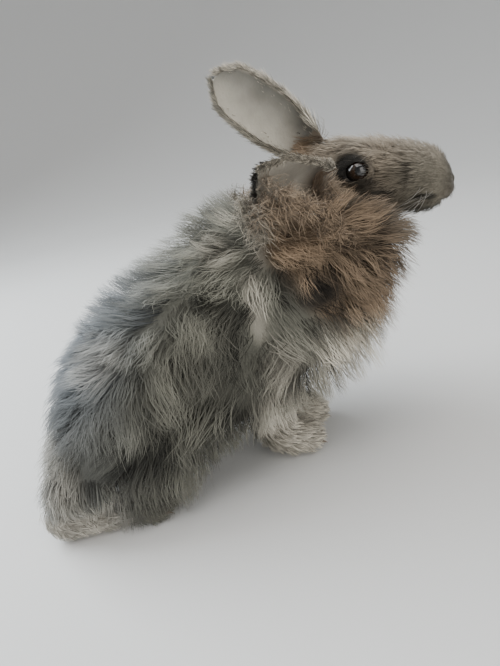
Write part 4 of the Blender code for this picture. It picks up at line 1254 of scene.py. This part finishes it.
class RABBIT_OT_head_fur(bpy.types.Operator):
    """Cover the head with short tufts that lie back from the nose"""
    bl_idname = "rabbit.head_fur"
    bl_label = "Fur of the head"

    def execute(self, context):
        settings = settings_of(context)
        draw = np.random.default_rng(HEAD_SEED)
        surface, middle, _ = skin_surface()
        local = to_head(middle)
        chosen = (local[:, 0] > -30) & (local[:, 0] < 54) & (np.abs(local[:, 1]) < 28)
        chosen = chosen & (np.abs(local[:, 2] + 3) < 29)
        for side in EARS:
            chosen = chosen & (up_ear(middle, side) < 0.12)
        chosen = chosen & (np.linalg.norm(folded(local) - EYE_PLACE, axis=1) > EYE_RADIUS + 0.8)
        count = 13000
        roots, normal = sample_surface(surface, chosen, count, draw)
        local = to_head(roots)
        x, y, z = local.T
        lie = columns(-1, np.sign(y) * 0.25 * soft(x, 40, 10), -0.30 * soft(-z, -6, 14)) @ HEAD_TURN.T
        length = np.interp(x, (-28, -8, 12, 30, 42, 50), (12, 10.5, 8.5, 6, 4, 2.2))
        from_eye = np.linalg.norm(folded(local) - EYE_PLACE, axis=1)
        length = length * np.interp(from_eye, (8, 16), (0.4, 1)) * draw.uniform(0.75, 1.25, count)
        lift = 0.42 + 0.2 * soft(z, 5, 18)
        path, out = short_paths(roots, normal, lie, length, lift, draw, stops=4, clump=0.25, frizz=0.7)
        lay = random_lay(draw, count, (0.35, 0.65), (0.2, 0.8))
        width = np.interp(length, (2, 10), (0.13, 0.20)) * draw.uniform(0.7, 1.3, count)
        strands = path, out, width, markings(path[:, 2]), lay, round_uv(y, z, (x + 34) / 90)
        nose = soft(x, 47.5, 50) * (1 - soft(np.abs(y), 3.5, 6)) * soft(z, -8, -6)
        for name, on_side in (("left", y > 0), ("right", y <= 0)):
            coat_piece(f"fur_head_{name}", coat_material("short_fur", settings), "head",
                       strands, (nose < 0.5) & on_side)
        return {"FINISHED"}


class RABBIT_OT_ear_fur(bpy.types.Operator):
    """Fringe the rims of the ears and cover their backs with short fur"""
    bl_idname = "rabbit.ear_fur"
    bl_label = "Fur of the ears"

    def execute(self, context):
        settings = settings_of(context)
        draw = np.random.default_rng(EAR_SEED)
        rim, back, inner = 2100, 1400, 500
        count = rim + back + inner
        kind = np.repeat((0, 1, 2), (rim, back, inner))
        on_rim, on_back = kind == 0, kind == 1
        for side in EARS:
            along = np.concatenate([draw.uniform(0.04, 1.0, rim) ** 0.8, draw.uniform(0.03, 0.98, back),
                                    draw.uniform(0.05, 0.9, inner)])
            along = np.clip(along, 0, 0.99)
            edge = np.where(draw.uniform(0, 1, count) < 0.5, -1.0, 1.0)
            spread = np.concatenate([edge[:rim] * draw.uniform(0.86, 0.995, rim),
                                     draw.uniform(-0.97, 0.97, back),
                                     edge[rim + back:] * draw.uniform(0.45, 0.95, inner)])
            point, ahead, across, front = ear_surface(side, along, spread)
            normal = ear_normal(side, np.clip(along, 0.01, 0.97), np.clip(spread, -0.98, 0.98))
            normal = normal * np.sign(np.sum(normal * front, axis=1, keepdims=True))
            turned = on_back | (on_rim & (draw.uniform(0, 1, count) < 0.5))
            out = np.where(turned[:, None], -normal, normal)
            off_edge = across * np.sign(spread)[:, None]
            lie = ahead + off_edge * np.choose(kind, (0.35, 0.0, 0.4))[:, None]
            length = np.choose(kind, [draw.uniform(5.0, 8.0, count), draw.uniform(4, 6, count),
                                      draw.uniform(2.0, 3.5, count)])
            length = length * np.interp(along, (0, 0.25, 1), (1.9, 1.1, 0.85))
            roots = point + out * (EAR_THICKNESS / 2 - 0.2)
            path, outs = short_paths(roots, out, lie, length, np.choose(kind, (0.14, 0.2, 0.15)), draw,
                                     stops=4, clump=0.3, guides=7)
            outs = np.where(on_rim[:, None, None], unit(front * 0.6 + off_edge)[:, None], outs)
            marks = columns(np.where(on_back, 0.35, 0.10 + 0.25 * (1 - along)),
                            np.choose(kind, (1.0, 0.8, 0.5)), np.where(on_back, 0.15, 0.0), 0.0)
            if side == "right":
                marks[:, 1] *= np.interp(along, (0, 0.3, 0.5), (0.8, 0.5, 0.25))
                marks[:, 0] += 0.2
                marks[:, 3] = 0.2 * soft(along, 0.8, 1.0)
            lay = random_lay(draw, count)
            width = draw.uniform(0.14, 0.24, count)
            uv = columns((np.clip(spread, -1, 1) + 1) / 4 + np.where(on_back, 0.5, 0), along)
            coat_piece(f"fur_ear_{side}", coat_material("short_fur", settings), "ear",
                       (path, outs, width, marks, lay, uv))
        return {"FINISHED"}


class RABBIT_OT_leg_fur(bpy.types.Operator):
    """Cover the paws, legs, feet and tail with fur that lies towards the toes"""
    bl_idname = "rabbit.leg_fur"
    bl_label = "Fur of legs and tail"

    def execute(self, context):
        settings = settings_of(context)
        draw = np.random.default_rng(LEG_SEED)
        material = coat_material("short_fur", settings)
        surface, middle, slope = skin_surface()
        x, y, z = middle.T
        seen = slope[:, 2] > -0.75
        fore = seen & (x > 28) & (x < 105) & (z < 64) & (np.abs(y) < 34)
        hind = seen & (x > -116) & (x < -12) & (np.abs(y) > 22) & (z < np.where(x < -62, 50, 26))
        for name, chosen, count, slot, centre in (
                ("foreleg_left", fore & (y > 0), 3000, "foreleg", (60, 14, 20)),
                ("foreleg_right", fore & (y <= 0), 3400, "foreleg", (50, -18, 20)),
                ("hindfoot_left", hind & (y > 0), 2600, "hindleg", (-70, 40, 10)),
                ("hindfoot_right", hind & (y <= 0), 2800, "hindleg", (-70, -40, 10))):
            roots, normal = sample_surface(surface, chosen, count, draw)
            height = soft(roots[:, 2], 14, 55)[:, None]
            lie = np.array([1.0, 0, -0.35]) * (1 - height) + np.array([-0.15, 0, -1.0]) * height
            if slot == "foreleg":
                length = np.interp(roots[:, 2], (6, 18, 45, 64), (4.5, 7, 13, 20))
            else:
                length = np.interp(roots[:, 2], (4, 16, 30, 48), (4, 6, 11, 18))
                lie = lie + np.array([-0.4, 0, -0.3]) * soft(-roots[:, 0], 92, 106)[:, None]
            length = length * draw.uniform(0.75, 1.25, count)
            length = np.minimum(length, np.maximum(roots[:, 2], 2.5) * 1.3)
            path, out = short_paths(roots, normal, lie, length, 0.4, draw, stops=4, frizz=0.5)
            path[..., 2] = np.maximum(path[..., 2], 0.4)
            lay = random_lay(draw, count)
            across, along, up = (roots - centre).T[[1, 0, 2]]
            width = np.interp(length, (3, 15), (0.18, 0.28)) * draw.uniform(0.7, 1.3, count)
            coat_piece(f"fur_{name}", material, slot,
                       (path, out, width, markings(roots), lay, round_uv(across, up, along / 110 + 0.5)))
        count = 1200
        on_tail = np.linalg.norm((middle - TAIL_MIDDLE) / (13, 13, 14), axis=1) < 1
        roots, normal = sample_surface(surface, on_tail, count, draw)
        lie = np.tile((-0.5, 0, 0.85), (count, 1))
        path, out = short_paths(roots, normal, lie, draw.uniform(5, 9, count), 0.4, draw, frizz=0.6)
        marks = np.tile((0.0, 0.15, 0.6, 0.1), (count, 1))
        lay = random_lay(draw, count)
        uv = round_uv(roots[:, 1] - 2, roots[:, 0] + 80, (roots[:, 2] - 36) / 34)
        coat_piece("fur_tail", material, "tail", (path, out, draw.uniform(0.2, 0.32, count), marks, lay, uv))
        return {"FINISHED"}


class RABBIT_OT_whiskers(bpy.types.Operator):
    """Set long bowed whiskers in the pads of the muzzle and over the eyes"""
    bl_idname = "rabbit.whiskers"
    bl_label = "Whiskers"

    def execute(self, context):
        draw = np.random.default_rng(WHISKER_SEED)
        material, _ = plain_material("whisker", (0.30, 0.28, 0.25), 0.4)
        count, brows, stops = 22, 4, 10
        side = np.where(np.arange(count) % 2, 1.0, -1.0)
        root = columns(draw.uniform(33, 43, count), side * 11.0, draw.uniform(-12, -5, count))
        root[-brows:] = columns(draw.uniform(4, 9, brows), side[-brows:] * 15.5, 15.0)
        way = columns(draw.uniform(-0.5, 0.15, count), side, draw.uniform(-0.35, 0.2, count))
        length = draw.uniform(20, 34, count)
        length[-brows:] = 16
        reach = length[:, None, None]
        share = np.linspace(0, 1, stops)[None, :, None]
        path = root[:, None] + unit(way)[:, None] * reach * share
        path = path + np.array((-0.35, 0, -0.25)) * reach * share ** 2
        out = np.tile(from_head((0, 0, 1)) - from_head((0, 0, 0)), (count, stops, 1))
        uv = columns(np.linspace(0.05, 0.95, count), 0.5)
        coat_piece("whiskers", material, "head", (from_head(path), out, np.full(count, 0.09),
                                                  np.zeros((count, 4)), np.full((count, 2), 0.5), uv))
        return {"FINISHED"}


class RABBIT_OT_claws(bpy.types.Operator):
    """Set a small curved claw in front of each toe"""
    bl_idname = "rabbit.claws"
    bl_label = "Claws"

    def execute(self, context):
        material, _ = plain_material("claw", settings_of(context).claw, 0.35)
        share = np.linspace(0, 1, 8)
        radius = 1.25 * (1 - share) + 0.12
        parts = []
        for side in (-1, 1):
            for x, y, z in np.vstack([toe_places(foreleg_rows(side)), toe_places(leg_rows(HIND_FOOT, side))]):
                height = np.maximum(z + 0.6 - 2.6 * share ** 2, 1.0)
                rows = columns(x + 6 + 5.5 * share, y, height, radius, radius)
                parts.append(closed_grid(tube_surface(rows, 8, 10)))
        dress(new_mesh_object("claws", *joined(parts)), material, "foreleg")
        return {"FINISHED"}


class RABBIT_OT_stage(bpy.types.Operator):
    """Lay the plain floor, set the soft lights and the camera"""
    bl_idname = "rabbit.stage"
    bl_label = "Stage"

    def execute(self, context):
        scene = context.scene
        props = [self.lay_floor(settings_of(context).floor)]
        world = bpy.data.worlds.new("soft_room")
        world.use_nodes = True
        background = world.node_tree.nodes["Background"]
        background.inputs["Color"].default_value = (0.80, 0.81, 0.83, 1)
        background.inputs["Strength"].default_value = 0.62
        scene.world = world
        for name, place, aim, size, power, colour in LAMPS:
            data = bpy.data.lights.new(name, "AREA")
            data.shape = "SQUARE"
            data.size = size
            data.energy = power
            data.color = colour
            light = bpy.data.objects.new(name, data)
            light.location = place
            light.rotation_euler = (Vector(place) - Vector(aim)).to_track_quat("Z", "Y").to_euler()
            props.append(light)
        data = bpy.data.cameras.new("camera")
        data.lens = CAMERA_LENS
        data.sensor_width = 36
        data.clip_start = 0.01
        camera = bpy.data.objects.new("camera", data)
        matrix = np.eye(4)
        matrix[:3, :3] = columns(CAMERA_RIGHT, CAMERA_UP, -np.array(CAMERA_AHEAD))
        matrix[:3, 3] = (np.array(CAMERA_PLACE) + SHIFT) * MM
        camera.matrix_world = Matrix(matrix.tolist())
        props.append(camera)
        for prop in props[1:]:
            scene.collection.objects.link(prop)
        scene.camera = camera
        return {"FINISHED"}

    def lay_floor(self, colour):
        """A round bowl: flat inside, then a quarter ellipse in profile, then a straight wall."""
        turn = np.linspace(0, math.pi / 2, 14)
        reach = np.concatenate([[1, 700], 1000 + 2000 * np.sin(turn), [3000]])[:, None]
        rise = np.concatenate([[0, 0], 2000 - 2000 * np.cos(turn), [3400]])[:, None]
        angle = np.linspace(0, 2 * math.pi, FLOOR_SIDES + 1)
        grid = columns(reach * np.cos(angle), reach * np.sin(angle), rise) - SHIFT * (1, 1, 0)
        index = np.arange(len(reach) * (FLOOR_SIDES + 1)).reshape(len(reach), -1)
        a, b, c, d = index[:-1, :-1], index[:-1, 1:], index[1:, 1:], index[1:, :-1]
        faces = np.stack([columns(a, c, b), columns(a, d, c)], 2).reshape(-1, 3)
        floor = new_mesh_object("floor", grid.reshape(-1, 3), faces)
        floor.data.materials.append(plain_material("floor", colour, 0.8)[0])
        return floor


OPERATORS = (
    RABBIT_OT_skin, RABBIT_OT_eyes, RABBIT_OT_body_wool, RABBIT_OT_end_wool, RABBIT_OT_ear_bed,
    RABBIT_OT_head_fur, RABBIT_OT_ear_fur, RABBIT_OT_leg_fur, RABBIT_OT_whiskers, RABBIT_OT_claws,
    RABBIT_OT_stage,
)


class RABBIT_PT_panel(bpy.types.Panel):
    """Sizes, colours and the steps that build the rabbit"""
    bl_idname = "RABBIT_PT_panel"
    bl_label = "Angora rabbit"
    bl_space_type = "VIEW_3D"
    bl_region_type = "UI"
    bl_category = "Rabbit"

    def draw(self, context):
        settings = settings_of(context)
        for name in RabbitSettings.__annotations__:
            self.layout.prop(settings, name)
        for operator in OPERATORS:
            self.layout.operator(operator.bl_idname)


CLASSES = (RabbitSettings, *OPERATORS, RABBIT_PT_panel)


def register():
    for cls in CLASSES:
        bpy.utils.register_class(cls)
    bpy.types.Scene.rabbit_settings = PointerProperty(type=RabbitSettings)


def unregister():
    del bpy.types.Scene.rabbit_settings
    for cls in reversed(CLASSES):
        bpy.utils.unregister_class(cls)


def main():
    register()
    rabbit = bpy.ops.rabbit
    for step in (rabbit.skin, rabbit.eyes, rabbit.body_wool, rabbit.end_wool, rabbit.ear_bed,
                 rabbit.head_fur, rabbit.ear_fur, rabbit.leg_fur, rabbit.whiskers, rabbit.claws,
                 rabbit.stage):
        step()


if __name__ == "__main__":
    main()
